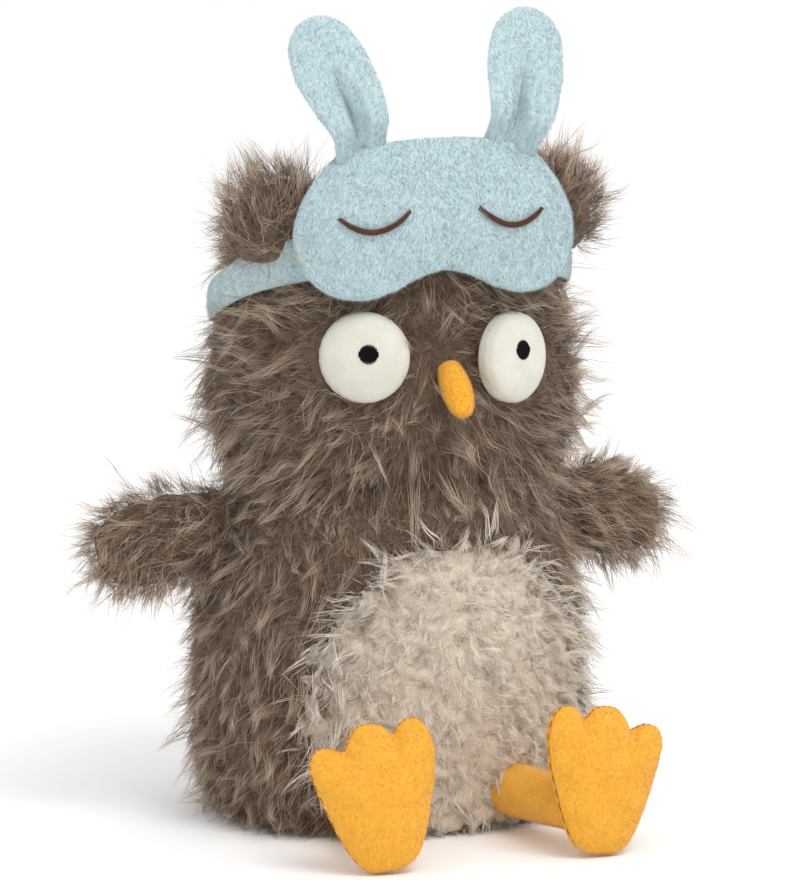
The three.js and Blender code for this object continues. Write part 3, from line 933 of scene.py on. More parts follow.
def linear(code: str) -> tuple[float, float, float, float]:
    """An sRGB hex colour as linear red, green, blue and full alpha."""
    values = [int(code[i : i + 2], 16) / 255 for i in (1, 3, 5)]
    return (*(v / 12.92 if v <= 0.04045 else ((v + 0.055) / 1.055) ** 2.4 for v in values), 1.0)


def add_node(
    tree: bpy.types.NodeTree, kind: str, settings: dict | None = None, links: dict | None = None
) -> bpy.types.Node:
    """Adds a node with its settings and links.

    Args:
        tree: the material's nodes.
        kind: the node's type, after "ShaderNode".
        settings: values of its inputs, by name, or of its properties.
        links: the sockets that feed its inputs, by name or number.

    Returns:
        The node.
    """
    node = tree.nodes.new(f"ShaderNode{kind}")
    for name, value in (settings or {}).items():
        if name in node.inputs:
            node.inputs[name].default_value = value
        else:
            setattr(node, name, value)
    for name, source in (links or {}).items():
        tree.links.new(source, node.inputs[name])
    return node


def set_ramp(node: bpy.types.Node, stops: Sequence[tuple[float, str]]) -> bpy.types.NodeSocket:
    """Sets a colour ramp's stops, as places and hex colours, and returns its colour."""
    ramp = node.color_ramp
    while len(ramp.elements) < len(stops):
        ramp.elements.new(0.5)
    for element, (place, code) in zip(ramp.elements, stops):
        element.position = place
        element.color = linear(code)
    return node.outputs["Color"]


@dataclass(frozen=True)
class Finish:
    """A material, made once: its name and what all finishes share."""

    name: str

    def nodes(self, tree: bpy.types.NodeTree) -> bpy.types.Node:
        """Adds the finish's own nodes and returns its shader."""
        raise NotImplementedError

    def material(self) -> bpy.types.Material:
        """The material, built when it is first asked for."""
        found = bpy.data.materials.get(self.name)
        if found is None:
            found = bpy.data.materials.new(self.name)
            found.use_nodes = True
            tree = found.node_tree
            tree.nodes.clear()
            add_node(tree, "OutputMaterial", links={"Surface": self.nodes(tree).outputs[0]})
        return found


@dataclass(frozen=True)
class PileFinish(Finish):
    """Polyester pile, dyed in the yarn and brushed: darker at the roots, partly painted shade, paler and matte
    at the tips.
    """

    stops: tuple[tuple[float, str], ...]
    contrast: float = 0.35
    roughness: float = 0.75
    sheen: float = 0.15
    specular: float = 0.25

    def nodes(self, tree: bpy.types.NodeTree) -> bpy.types.Node:
        """Reads the strands' own map: tone across, root to tip upwards."""
        own = add_node(tree, "UVMap", {"uv_map": "OFBake"})
        split = add_node(tree, "SeparateXYZ", links={0: own.outputs["UV"]})
        colour = set_ramp(add_node(tree, "ValToRGB", links={0: split.outputs["Y"]}), self.stops)
        limits = {"To Min": 1 - self.contrast, "To Max": 1 + self.contrast}
        tone = add_node(tree, "MapRange", limits, {"Value": split.outputs["X"]})
        shade = add_node(tree, "HueSaturation", links={"Value": tone.outputs[0], "Color": colour})
        settings = {"Roughness": self.roughness, "Sheen Weight": self.sheen, "Sheen Roughness": 0.6,
                    "IOR": 1.45, "Specular IOR Level": self.specular}
        return add_node(tree, "BsdfPrincipled", settings, {"Base Color": shade.outputs["Color"]})


@dataclass(frozen=True)
class ClothFinish(Finish):
    """Knitted or woven polyester cloth, cut and sewn: mottled nap over a fine ground, with no gloss."""

    dark: str
    light: str
    patch: float = 6.0
    ground: float = 0.8
    depth: float = 0.3
    roughness: float = 0.9
    sheen: float = 0.2
    specular: float = 0.2

    def nodes(self, tree: bpy.types.NodeTree) -> bpy.types.Node:
        """Two noises on Object coordinates, of the patches' and the ground's size."""
        place = {"Vector": add_node(tree, "TexCoord").outputs["Object"]}
        wide = add_node(tree, "TexNoise", {"Scale": 1 / (self.patch * MM), "Detail": 3.0}, place)
        fine = add_node(tree, "TexNoise", {"Scale": 1 / (self.ground * MM), "Detail": 2.0}, place)
        both = add_node(tree, "Math", {"operation": "ADD"}, {0: wide.outputs["Fac"], 1: fine.outputs["Fac"]})
        share = add_node(tree, "MapRange", {"From Min": 0.7, "From Max": 1.3}, {"Value": both.outputs[0]})
        ramp = add_node(tree, "ValToRGB", links={0: share.outputs[0]})
        colour = set_ramp(ramp, ((0.0, self.dark), (1.0, self.light)))
        height = {"Height": fine.outputs["Fac"]}
        bump = add_node(tree, "Bump", {"Strength": 0.6, "Distance": self.depth * MM}, height)
        settings = {"Roughness": self.roughness, "Sheen Weight": self.sheen, "Sheen Roughness": 0.5,
                    "Specular IOR Level": self.specular}
        links = {"Base Color": colour, "Normal": bump.outputs["Normal"]}
        return add_node(tree, "BsdfPrincipled", settings, links)


@dataclass(frozen=True)
class ThreadFinish(Finish):
    """Twisted polyester embroidery thread: a noise of the twist's size runs its colour from dark to light,
    painted highlight and shade.
    """

    dark: str
    light: str
    roughness: float = 0.45
    twist: float = 0.5
    depth: float = 0.1
    specular: float = 0.15

    def nodes(self, tree: bpy.types.NodeTree) -> bpy.types.Node:
        """A twist of half a millimetre in colour and height."""
        place = {"Vector": add_node(tree, "TexCoord").outputs["Object"]}
        twist = add_node(tree, "TexNoise", {"Scale": 1 / (self.twist * MM), "Detail": 1.0}, place)
        ramp = add_node(tree, "ValToRGB", links={0: twist.outputs["Fac"]})
        colour = set_ramp(ramp, ((0.3, self.dark), (0.7, self.light)))
        height = {"Height": twist.outputs["Fac"]}
        bump = add_node(tree, "Bump", {"Strength": 0.5, "Distance": self.depth * MM}, height)
        settings = {"Roughness": self.roughness, "Sheen Weight": 0.0, "Specular IOR Level": self.specular}
        links = {"Base Color": colour, "Normal": bump.outputs["Normal"]}
        return add_node(tree, "BsdfPrincipled", settings, links)


# Knitted long pile, brown: the wool is dark at its roots, partly dye and partly painted shade that deepens the
# gaps between the clumps, and the paler hair over it has light tips, partly dye and partly painted highlight,
# so wisps show.
BROWN_DOWN = PileFinish(
    "brown_pile_undercoat", ((0.0, "#4c3a2b"), (0.5, "#826a57"), (1.0, "#a58b74")), contrast=0.45, sheen=0.2
)
BROWN_HAIR = PileFinish(
    "brown_pile_guard_hair", ((0.0, "#624d3d"), (0.4, "#9d856f"), (1.0, "#dfccb5")), 0.3, 0.6, 0.25
)
# Knitted long pile, cream: little contrast from root to tip, so the chest reads as soft, bright curls.
CREAM_DOWN = PileFinish("cream_pile_curls", ((0.0, "#bfb09f"), (0.4, "#e6dacb"), (1.0, "#fbf3e8")), 0.16)
CREAM_HAIR = PileFinish("cream_pile_hair", ((0.0, "#d2c4b3"), (0.5, "#f0e6da"), (1.0, "#fffaf2")), 0.14)
# Shorn plush of short, dense pile: nearly one colour from root to tip, so it reads as even, matte velvet.
BLUE_PILE = PileFinish("blue_plush_pile", ((0.0, "#b1c6ca"), (1.0, "#c4d5d8")), 0.04)
ORANGE_PILE = PileFinish("orange_plush_pile", ((0.0, "#e5a636"), (1.0, "#edb954")), 0.05)
BEAK_PILE = PileFinish("beak_plush_pile", ((0.0, "#e8a92f"), (1.0, "#f8c452")), 0.08)
# The knitted ground that each pile stands in, coloured as dark as the roots: painted shade, so gaps read as
# depth.
BROWN_BACKING = ClothFinish("brown_woolly_pile", "#4d3c2e", "#776250", 3.0, 0.7, 0.8)
CREAM_BACKING = ClothFinish("cream_woolly_pile", "#bbac9b", "#dbcebe", 3.0, 0.7, 0.8)
BLUE_CLOTH = ClothFinish("blue_plush_ground", "#b2c7cc", "#bacdd1", depth=0.03)
ORANGE_CLOTH = ClothFinish("orange_plush_ground", "#e3a333", "#e9ae3f", depth=0.05)
BEAK_CLOTH = ClothFinish("beak_plush_ground", "#e8a62c", "#f0b23a", 5.0, 0.7, 0.06)
# Tight, smooth knit: the eyes read as clean, pale domes. Inside and below are fluffy fibre, a woven pouch and
# warp-knitted tricot, which shows as plain dark cloth. The floor is matte paper.
EYE_CLOTH = ClothFinish("eye_knit_cloth", "#c8c6b9", "#d6d4ca", 9.0, 0.5, 0.12, 0.7, 0.1)
FIBREFILL = ClothFinish("polyester_fibrefill", "#e4e2da", "#fbfaf6", 3.0, 0.4, 0.6)
POUCH_CLOTH = ClothFinish("woven_pellet_pouch", "#cfccc0", "#e0ddd2", 3.0, 0.5, 0.2)
SEAT_CLOTH = ClothFinish("tricot_seat_cloth", "#51473c", "#655a4e", 7.0, 0.6, 0.15)
FLOOR_PAPER = ClothFinish("floor_paper", "#fafafa", "#fdfdfd", 300.0, 20.0, 0.02, 0.9, 0.0)
# Twisted embroidery and sewing thread: each stitch's lighter colour is a painted highlight, so rows read as
# satin.
BLACK_THREAD = ThreadFinish("black_satin_thread", "#040404", "#0b0a09", 0.8)
LID_THREAD = ThreadFinish("brown_satin_thread", "#3f271d", "#62412f")
ORANGE_THREAD = ThreadFinish("orange_sewing_thread", "#a9690f", "#cd8a24", 0.6)


def dress(
    obj: Obj, finish: Finish, body: str, nodes: Sequence[str] = ()
) -> Obj:
    """Finishes a piece and sets what it belongs to.

    Args:
        obj: the piece, in place.
        finish: its material's finish.
        body: the body that it rides on, none if it is blended.
        nodes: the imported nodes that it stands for.

    Returns:
        The piece.
    """
    obj.data.materials.clear()
    obj.data.materials.append(finish.material())
    if nodes:
        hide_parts(*nodes)
    if body:
        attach(obj, body)
    LOG.info("%s: %d faces on %s", obj.name, len(obj.data.polygons), body or "two bodies")
    return obj


def dress_pile(
    name: str, strands: Strands, finish: PileFinish, body: str, sectors: int = 1
) -> list[Obj]:
    """Makes and finishes a pile's pieces.

    Args:
        name: the pieces' name.
        strands: the pile.
        finish: its finish.
        body: the body that it rides on, none if it is blended.
        sectors: how many pieces it is divided into, evenly round the form.

    Returns:
        The pieces.
    """
    place = strands.points[:, 0] - strands.points[:, 0].mean(0)
    turn = (np.arctan2(place[:, 0], -place[:, 1]) / TURN + 0.5 / sectors) % 1.0
    order = (turn * sectors).astype(int)
    labels = [name] if sectors == 1 else [f"{name}_{k + 1}" for k in range(sectors)]
    return [
        dress(strand_piece(label, strands.where(order == k)), finish, body)
        for k, label in enumerate(labels)
    ]


def shorn(
    name: str, skin: Obj, pile: Pile, flow: Flow, seed: int, finish: PileFinish, body: str,
    keep: Keep = everywhere,
) -> Obj:
    """Grows a short plush on a skin.

    Args:
        name: the piece's name.
        skin: the skin.
        pile: how the pile grows.
        flow: the way that it lies.
        seed: picks the strands.
        finish: its finish.
        body: the body that it rides on, none if it is blended.
        keep: tells where it grows.

    Returns:
        The piece.
    """
    strands = grow(Skin.of(skin), pile, flow, seed, keep).above(0.1)
    return dress_pile(name, strands, finish, body)[0]


def stuffing(
    node: str, shrink: float, body: str, finish: Finish = FIBREFILL
) -> None:
    """Makes the lumpy inside piece that stands for a packed filling, a little smaller than it.

    Args:
        node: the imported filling.
        shrink: how much smaller the piece is at least.
        body: the body that it rides on.
        finish: its finish.
    """
    source = frame["nodes"][node]
    obj = source.copy()
    obj.data, obj.parent = source.data.copy(), None
    obj.name = obj.data.name = f"{node}_loose"
    bpy.context.scene.collection.objects.link(obj)
    close_up(obj)
    apply(obj, "REMESH", mode="VOXEL", voxel_size=3 * MM)
    points = points_of(obj)
    lumps = shrink + 0.6 * (1 + ripple(points, 14, len(node)))
    move_points(obj, points - read(obj.data, "normal") * lumps[:, None])
    bpy.ops.object.shade_smooth()
    dress(obj, finish, body, [node])


@dataclass(frozen=True)
class Coat:
    """Long pile as it is knitted: a woolly undercoat in clumps, and longer, paler guard hairs in wisps."""

    clump_width: float
    clump_flat_share: float
    clump_height: float
    down: Pile
    hair: Pile
    finishes: tuple[PileFinish, PileFinish] = (BROWN_DOWN, BROWN_HAIR)
    slot: Slot = Slot.BROWN
    lean: float = 0.45
    down_swirl: tuple[float, float] = (50.0, 16.0)
    hair_swirl: tuple[float, float] = (30.0, 34.0)
    floor_gap: float = 0.4

    def clump(self, obj: Obj, flow: Flow, seed: int, keep: Keep) -> tuple[Rows, Rows]:
        """Raises a skin into the rounded clumps that a dense woolly pile gathers in.

        Args:
            obj: the skin.
            flow: the way that the pile lies.
            seed: picks the clumps.
            keep: tells where the pile grows.

        Returns:
            The clumps' middles and the unit normals there.
        """
        rng = np.random.default_rng(seed)
        width, flat = self.clump_width, self.clump_flat_share
        middles, normals = Skin.of(obj).scatter(1 / (width**2 * flat), rng)
        points, out = points_of(obj), read(obj.data, "normal")
        shown = keep(middles, normals)
        middles, normals = middles[shown], normals[shown]
        stretch = np.array([1.0, 1.0, 1 / flat])
        tree = kd_tree(middles * stretch)
        found = [tree.find_n(point, 2) for point in points * stretch]
        owner = np.array([first[1] for first, _ in found])
        crease = np.array([second[2] - first[2] for first, second in found])
        rise = self.clump_height * np.clip(crease / width, 0, 1) ** 0.55
        rise = rise * rng.uniform(0.6, 1.25, len(middles))[owner] * keep(points, out)
        move_points(obj, points + (out + self.lean * flow(points, out)) * rise[:, None])
        return middles, normals

    def grow_on(
        self,
        name: str,
        skin: Obj,
        body: str,
        flow: Flow,
        seed: int,
        obstacles: Obstacles,
        keep: Keep = everywhere,
        lengths: Lengths | None = None,
        sectors: int = 1,
        under: Sequence[Obj] = (),
    ) -> None:
        """Clumps a skin and grows both layers on it.

        Args:
            name: the pieces' name.
            skin: the skin.
            body: the body that they ride on.
            flow: the way that the pile lies.
            seed: picks the strands.
            obstacles: pieces to keep clear of, with how deep a strand may reach into each.
            keep: tells where the pile grows.
            lengths: shares of the pile's length at places, one if left out.
            sectors: how many pieces the undercoat is divided into, and half as many for the hair.
            under: pieces that the strands' tips may lie over.
        """
        laid = combed(flow, *self.down_swirl, seed)
        clumps = self.clump(skin, laid, seed, keep)
        surface = Skin.of(skin)
        hair = combed(flow, *self.hair_swirl, seed + 1)
        layers = (("undercoat", self.down, laid, clumps), ("guard_hair", self.hair, hair, None))
        for step, ((label, pile, way, guides), finish) in enumerate(zip(layers, self.finishes)):
            strands = grow(surface, pile, way, seed + 2 + step, keep, lengths, guides)
            for obstacle in under:
                strands = draped(strands, obstacle)
            for obstacle, margin in obstacles:
                strands = outside(strands, obstacle, margin)
            strands = within_reach(strands).above(self.floor_gap)
            dress_pile(f"{name}_{label}", strands, finish, body, max(1, sectors // (1 + step)))


def shown_side(way: Rows, least: float) -> Keep:
    """Keeps the side of a cloth that faces a way, down to a least cosine."""
    return lambda points, normals: normals @ way > least


# The owl


@dataclass(frozen=True)
class Body:
    """The body bag with its belly patch, seat and inside."""

    profile: Profile = Profile(
        ((0.8, 0), (0.91, 0.05), (0.975, 0.16), (1, 0.34), (0.985, 0.56), (0.94, 0.76), (0.87, 0.91),
         (0.81, 1)),
        squareness=2.2,
    )
    belly_outline: Shares = (
        (0, 0), (0.55, 0.04), (0.88, 0.2), (1, 0.42), (0.9, 0.66), (0.62, 0.87), (0.3, 0.98), (0, 1),
    )
    belly_half_width: float = 51.0
    belly_height: float = 98.0
    belly_bottom: float = 5.0
    belly_aside: float = 7.0
    belly_thickness: float = 2.2
    parting_share: float = 0.6
    edge_wander: float = 2.2
    skin_inset: float = 5.0
    neck: float = 123.6
    neck_share: float = 0.66
    neck_squareness: float = 2.6
    seat_half_thickness: float = 0.7
    coat: Coat = Coat(
        5.2,
        0.9,
        2.3,
        replace(WOOL, length=6.5, lift_share=0.5, droop_share=0.15, tone=0.6),
        replace(
            HAIR, density=0.31, length=15.0, lift_share=0.42, lock=5.8, draw_share=0.88, loose_share=0.17,
            droop_share=0.25, wave=2.0, tone=0.62,
        ),
    )
    belly_coat: Coat = Coat(
        8.5,
        0.5,
        3.9,
        replace(
            WOOL, density=1.7, length=4.4, radius=0.13, lift_share=0.32, lock=5.6, draw_share=0.75,
            loose_share=0.12, stray_share=0.02, frizz=0.4, turns=1.2, mottle=0.6,
        ),
        replace(
            HAIR, density=0.44, length=10.0, radius=0.12, lift_share=0.32, lock=4.6, draw_share=0.92,
            loose_share=0.08, stray_share=0.01, frizz=0.3, turns=0.9, mottle=0.6,
        ),
        (CREAM_DOWN, CREAM_HAIR),
        Slot.CREAM,
    )

    def on_belly(self, points: Rows, wider: float = 0.0) -> Rows:
        """Tells which points lie inside the belly patch's outline, seen from the front."""
        rows = curve(self.belly_outline, np.linspace(0, 1, 60))
        height = (points[:, 2] - self.belly_bottom) / self.belly_height
        half = np.interp(height, rows[:, 1], rows[:, 0], left=-1.0, right=-1.0) * self.belly_half_width
        reach = half + wider + self.edge_wander * ripple(points, 16, 3)
        return (np.abs(points[:, 0] - self.belly_aside) < reach) & (points[:, 1] < self.middle()[1])

    def middle(self) -> Rows:
        """A place deep inside the bag."""
        low, high = box_of("body_cover")
        return (low + high) / 2

    def flow(self, points: Rows, normals: Rows) -> Rows:
        """The brown pile hangs, and spreads near the floor."""
        low = 1 - smooth(points[:, 2], 4, 30)[:, None]
        return unit(points * (1, 1, 0)) * (0.25 + 0.9 * low) - UP

    def belly_flow(self, points: Rows, normals: Rows) -> Rows:
        """The cream pile parts from the patch's middle, mostly down."""
        parting = np.array([self.belly_aside, 0, self.belly_bottom + self.parting_share * self.belly_height])
        return (points - parting) * (1, 0, 1) / 32 - 0.7 * UP

    def belly_length(self, points: Rows) -> Rows:
        """The cream pile is longest at the patch's edge."""
        return np.where(self.on_belly(points, -12.0), 0.75, 1.4)

    def grown(self, points: Rows, normals: Rows) -> Rows:
        """Keeps the brown pile off the belly patch, the seat's edge and the ground that the head sits on."""
        low, high = box_of("head_cover")
        rim = np.abs((points - (low + high) / 2) / (high - low) * 2)[:, :2]
        power = self.neck_squareness
        beside = (points[:, 2] < self.neck) | ((rim**power).sum(1) > self.neck_share**power)
        return ~self.on_belly(points, -3.0) & (points[:, 2] > 2.2) & beside

    def build(self) -> tuple[Obj, Obj]:
        """Builds the bag, the seat and the inside, and returns the bag's skin and the belly's."""
        skin = bag("body_skin", self.profile, ("body_cover", "belly_patch"), (self.skin_inset, 0.0), 5)
        dress(skin, BROWN_BACKING, "body", ["body_cover"])
        patch = self.belly_skin(skin)
        self.seat()
        stuffing("body_filling", 1.2, "body")
        stuffing("bean_pouch", 0.4, "body", POUCH_CLOTH)
        return skin, patch

    def belly_skin(self, skin: Obj) -> Obj:
        """The cream panel, cut from the bag's skin, laid on it and sewn in round its edge."""
        obj = linked("belly_skin", skin.data.copy())
        centres = np.array([tuple(face.center) for face in obj.data.polygons]) / MM
        for face, keep in zip(obj.data.polygons, self.on_belly(centres)):
            face.select = not keep
        select_only(obj)
        bpy.context.tool_settings.mesh_select_mode = (False, False, True)
        bpy.ops.object.mode_set(mode="EDIT")
        bpy.ops.mesh.delete(type="FACE")
        bpy.ops.object.mode_set(mode="OBJECT")
        apply(obj, "SOLIDIFY", thickness=self.belly_thickness * MM, offset=1.0)
        return dress(obj, CREAM_BACKING, "body", ["belly_patch"])

    def seat(self) -> None:
        """The flat seat panel, a cut sheet of cloth."""
        low, high = box_of("base_panel")
        angle, power = np.linspace(0, TURN, 48, endpoint=False), self.profile.squareness
        corner = (np.abs(np.cos(angle)) ** power + np.abs(np.sin(angle)) ** power) ** (-1 / power)
        outline = tuple(zip(corner * np.cos(angle) / 2, corner * np.sin(angle) / 2))
        size, half = (high - low)[:2], self.seat_half_thickness
        pad = Pad(outline, size[0], size[1], half, fullness=0.12)
        middle = np.append((low + high)[:2] / 2, half)
        obj = ball("seat_sheet", 64, 16, lambda a, s: pad.at(a, s) + middle)
        dress(obj, SEAT_CLOTH, "body", ["base_panel"])

    def grow_pile(self, skin: Obj, patch: Obj, obstacles: Obstacles, under: Sequence[Obj]) -> None:
        """Grows the brown and the cream pile.

        Args:
            skin: the bag's skin.
            patch: the belly's skin.
            obstacles: pieces to keep clear of, with how deep a strand may reach into each.
            under: pieces that the strands' tips may lie over.
        """
        self.coat.grow_on(
            "body", skin, "body", self.flow, 12, obstacles, self.grown,
            lambda p: 1 - 0.45 * smooth(p[:, 2], 96, 118), 4, under,
        )
        self.belly_coat.grow_on(
            "belly", patch, "body", self.belly_flow, 22, obstacles,
            lambda p, n: (n * (p - self.middle())).sum(1) > 0, self.belly_length, under=under,
        )


@dataclass(frozen=True)
class Head:
    """The head bag, a soft box with a vertical brow."""

    profile: Profile = Profile(
        ((0.83, 0), (0.95, 0.11), (1, 0.28), (0.985, 0.455), (0.93, 0.61), (0.905, 0.77), (0.85, 0.89),
         (0.69, 0.96), (0.4, 0.993), (0, 1)),
        squareness=2.6,
    )
    skin_inset: float = 5.0
    rim: float = 124.6
    coat: Coat = Coat(5.2, 1.1, 2.4, WOOL, HAIR)

    def heart(self) -> Rows:
        """The middle of the face, which the pile parts from."""
        high = box_of("beak")[1]
        return np.array([0.0, high[1] + 4, high[2] + 1])

    def flow(self, points: Rows, normals: Rows) -> Rows:
        """The pile leaves the beak on all sides, lies level on the brow and hangs at the back."""
        back = smooth(points[:, 1], -20, 25)[:, None]
        away = unit(points - self.heart())
        away[:, 2] -= (away[:, 2] + 0.2) * smooth(points[:, 2], 178, 190)
        return away * (1 - back) + (-UP - 0.25 * AHEAD) * back

    def lengths(self, points: Rows) -> Rows:
        """The pile is short round the eyes and beak and under the mask, and long over the neck seam."""
        near = 0.8 + 0.2 * smooth(np.linalg.norm(points - self.heart(), axis=1), 16, 44)
        neck = 1 + 0.3 * (1 - smooth(points[:, 2], 128, 146))
        return near * neck * (1 - 0.55 * smooth(points[:, 2], 208, 222))

    def build(self) -> Obj:
        """Builds the skin and the filling, and returns the skin."""
        skin = bag("head_skin", self.profile, ("head_cover",), (self.skin_inset, self.skin_inset), 6)
        dress(skin, BROWN_BACKING, "head", ["head_cover"])
        stuffing("head_filling", 1.2, "head")
        return skin

    def grow_pile(self, skin: Obj, obstacles: Obstacles, under: Sequence[Obj]) -> None:
        """Grows the pile above the neck seam, clear of some pieces and over the edges of others."""
        self.coat.grow_on(
            "head", skin, "head", self.flow, 32, obstacles, lambda p, n: p[:, 2] > self.rim, self.lengths, 4,
            under,
        )


@dataclass(frozen=True)
class Tufts:
    """The ear tufts at the head's upper corners."""

    profile: Profile = Profile(
        ((0.6, 0), (0.9, 0.1), (1, 0.34), (0.97, 0.6), (0.78, 0.84), (0.45, 0.97), (0, 1)), squareness=2.6
    )
    radius: float = 17.0
    length: float = 35.0
    depth_share: float = 0.85
    lean: float = 10.0
    seat: tuple[float, float, float] = (49.0, -29.0, 202.0)
    foot_lift: float = 5.0
    skin_inset: float = 3.0
    bare_below: float = -0.85
    coat: Coat = Coat(
        4.6,
        1.2,
        1.8,
        replace(
            WOOL, density=1.2, length=10.5, radius=0.12, lift_share=0.6, lock=4.6, draw_share=0.45,
            loose_share=0.35, stray_share=0.05, droop_share=0.0, frizz=1.4, wave=1.0, tone=0.72,
        ),
        replace(
            HAIR, density=0.34, length=17.5, spread_share=0.35, lift_share=0.5, lock=5.2, draw_share=0.85,
            loose_share=0.25, stray_share=0.06, droop_share=0.0, frizz=0.9, tone=0.75,
        ),
    )

    def rule(self, azimuth: Rows, share: Rows) -> Rows:
        """Places on the left tuft."""
        half = (self.radius - self.skin_inset, self.depth_share * self.radius - self.skin_inset)
        rows = self.profile.at(azimuth, share, half, self.length - self.skin_inset - self.foot_lift)
        return turned(rows + (0, 0, self.foot_lift), -AHEAD, self.lean) + self.seat

    def build(self) -> dict[Side, Obj]:
        """Builds both skins."""
        skins = two_sided(ball("ear_tuft_skin", 84, 44, self.rule), "ear_tuft_skin")
        for side, obj in skins.items():
            dress(obj, BROWN_BACKING, "head", [f"ear_tuft_{side.word}"])
        return skins

    def splay(self, side: Side) -> Flow:
        """The flow of a tuft's pile: up and away from its middle."""
        seat = np.array(self.seat) * (side.value, 1, 1)
        return lambda points, normals: 1.3 * UP + unit((points - seat) * (1, 1, 0)) * 0.6

    def grow_pile(self, skins: dict[Side, Obj], obstacles: Obstacles) -> None:
        """Grows the pile but underneath, where the tuft is sewn on."""
        for side, obj in skins.items():
            self.coat.grow_on(
                f"ear_tuft_{side.word}", obj, "head", self.splay(side), 44 + 4 * side.value, obstacles,
                lambda p, n: n[:, 2] > self.bare_below,
            )


@dataclass(frozen=True)
class Wings:
    """The paddle wings at the shoulder seams."""

    profile: Profile = Profile(
        ((0.72, 0), (0.86, 0.2), (0.98, 0.48), (0.98, 0.7), (0.8, 0.88), (0.46, 0.98), (0, 1))
    )
    half_height: float = 18.5
    thickness_share: float = 0.62
    length: float = 48.0
    inside: float = 9.0
    droop: float = 11.0
    sweep: float = 7.0
    skin_inset: float = 4.0
    bare_within: float = 2.0
    hang: float = 0.45
    # The wings' tone is raised near the top of the ramp: painted light, as this same pile shows lighter where
    # light falls.
    coat: Coat = Coat(
        4.8,
        1.0,
        2.0,
        replace(
            WOOL, density=1.25, length=8.5, radius=0.125, lift_share=0.55, loose_share=0.3,
            stray_share=0.04, frizz=1.0, mottle=1.2, tone=0.96,
        ),
        replace(
            HAIR, density=0.36, spread_share=0.35, lift_share=0.45, lock=5.0, draw_share=0.86,
            loose_share=0.25, stray_share=0.1, droop_share=0.25, frizz=0.7, wave=1.8, mottle=1.2, tone=0.96,
        ),
    )

    def along(self) -> Rows:
        """The way that the left wing points."""
        return unit(np.array([1.0, math.tan(math.radians(self.sweep)), -math.tan(math.radians(self.droop))]))

    def rule(self, azimuth: Rows, share: Rows) -> Rows:
        """Places on the left wing."""
        inset = self.skin_inset
        half = (self.thickness_share * self.half_height - inset, self.half_height - inset)
        rows = self.profile.at(azimuth, share, half, self.length + self.inside - inset)
        return aimed(rows - (0, 0, self.inside), pivot_of("wing_left_flap"), self.along())

    def build(self) -> dict[Side, Obj]:
        """Builds both skins and fillings, and returns the skins."""
        skins = two_sided(ball("wing_skin", 90, 60, self.rule), "wing_skin")
        for side, obj in skins.items():
            body = f"wing_{side.word}"
            dress(obj, BROWN_BACKING, body, [body])
            stuffing(f"wing_filling_{side.word}", 1.0, body)
        return skins

    def clear_of_body(self, side: Side) -> Keep:
        """Keeps the part of a wing that stands out of the body."""
        edge = box_of(f"wing_{side.word}")[0 if side is Side.LEFT else 1][0]
        return lambda points, normals: (points[:, 0] - edge) * side.value > -self.bare_within

    def grow_pile(self, skins: dict[Side, Obj], obstacles: Obstacles) -> None:
        """Grows the pile, which lies along the wing and hangs over its edge."""
        for side, obj in skins.items():
            body, flow = f"wing_{side.word}", steady(self.along() * (side.value, 1, 1) - self.hang * UP)
            self.coat.grow_on(
                body, obj, body, flow, 54 + 4 * side.value, obstacles, self.clear_of_body(side)
            )


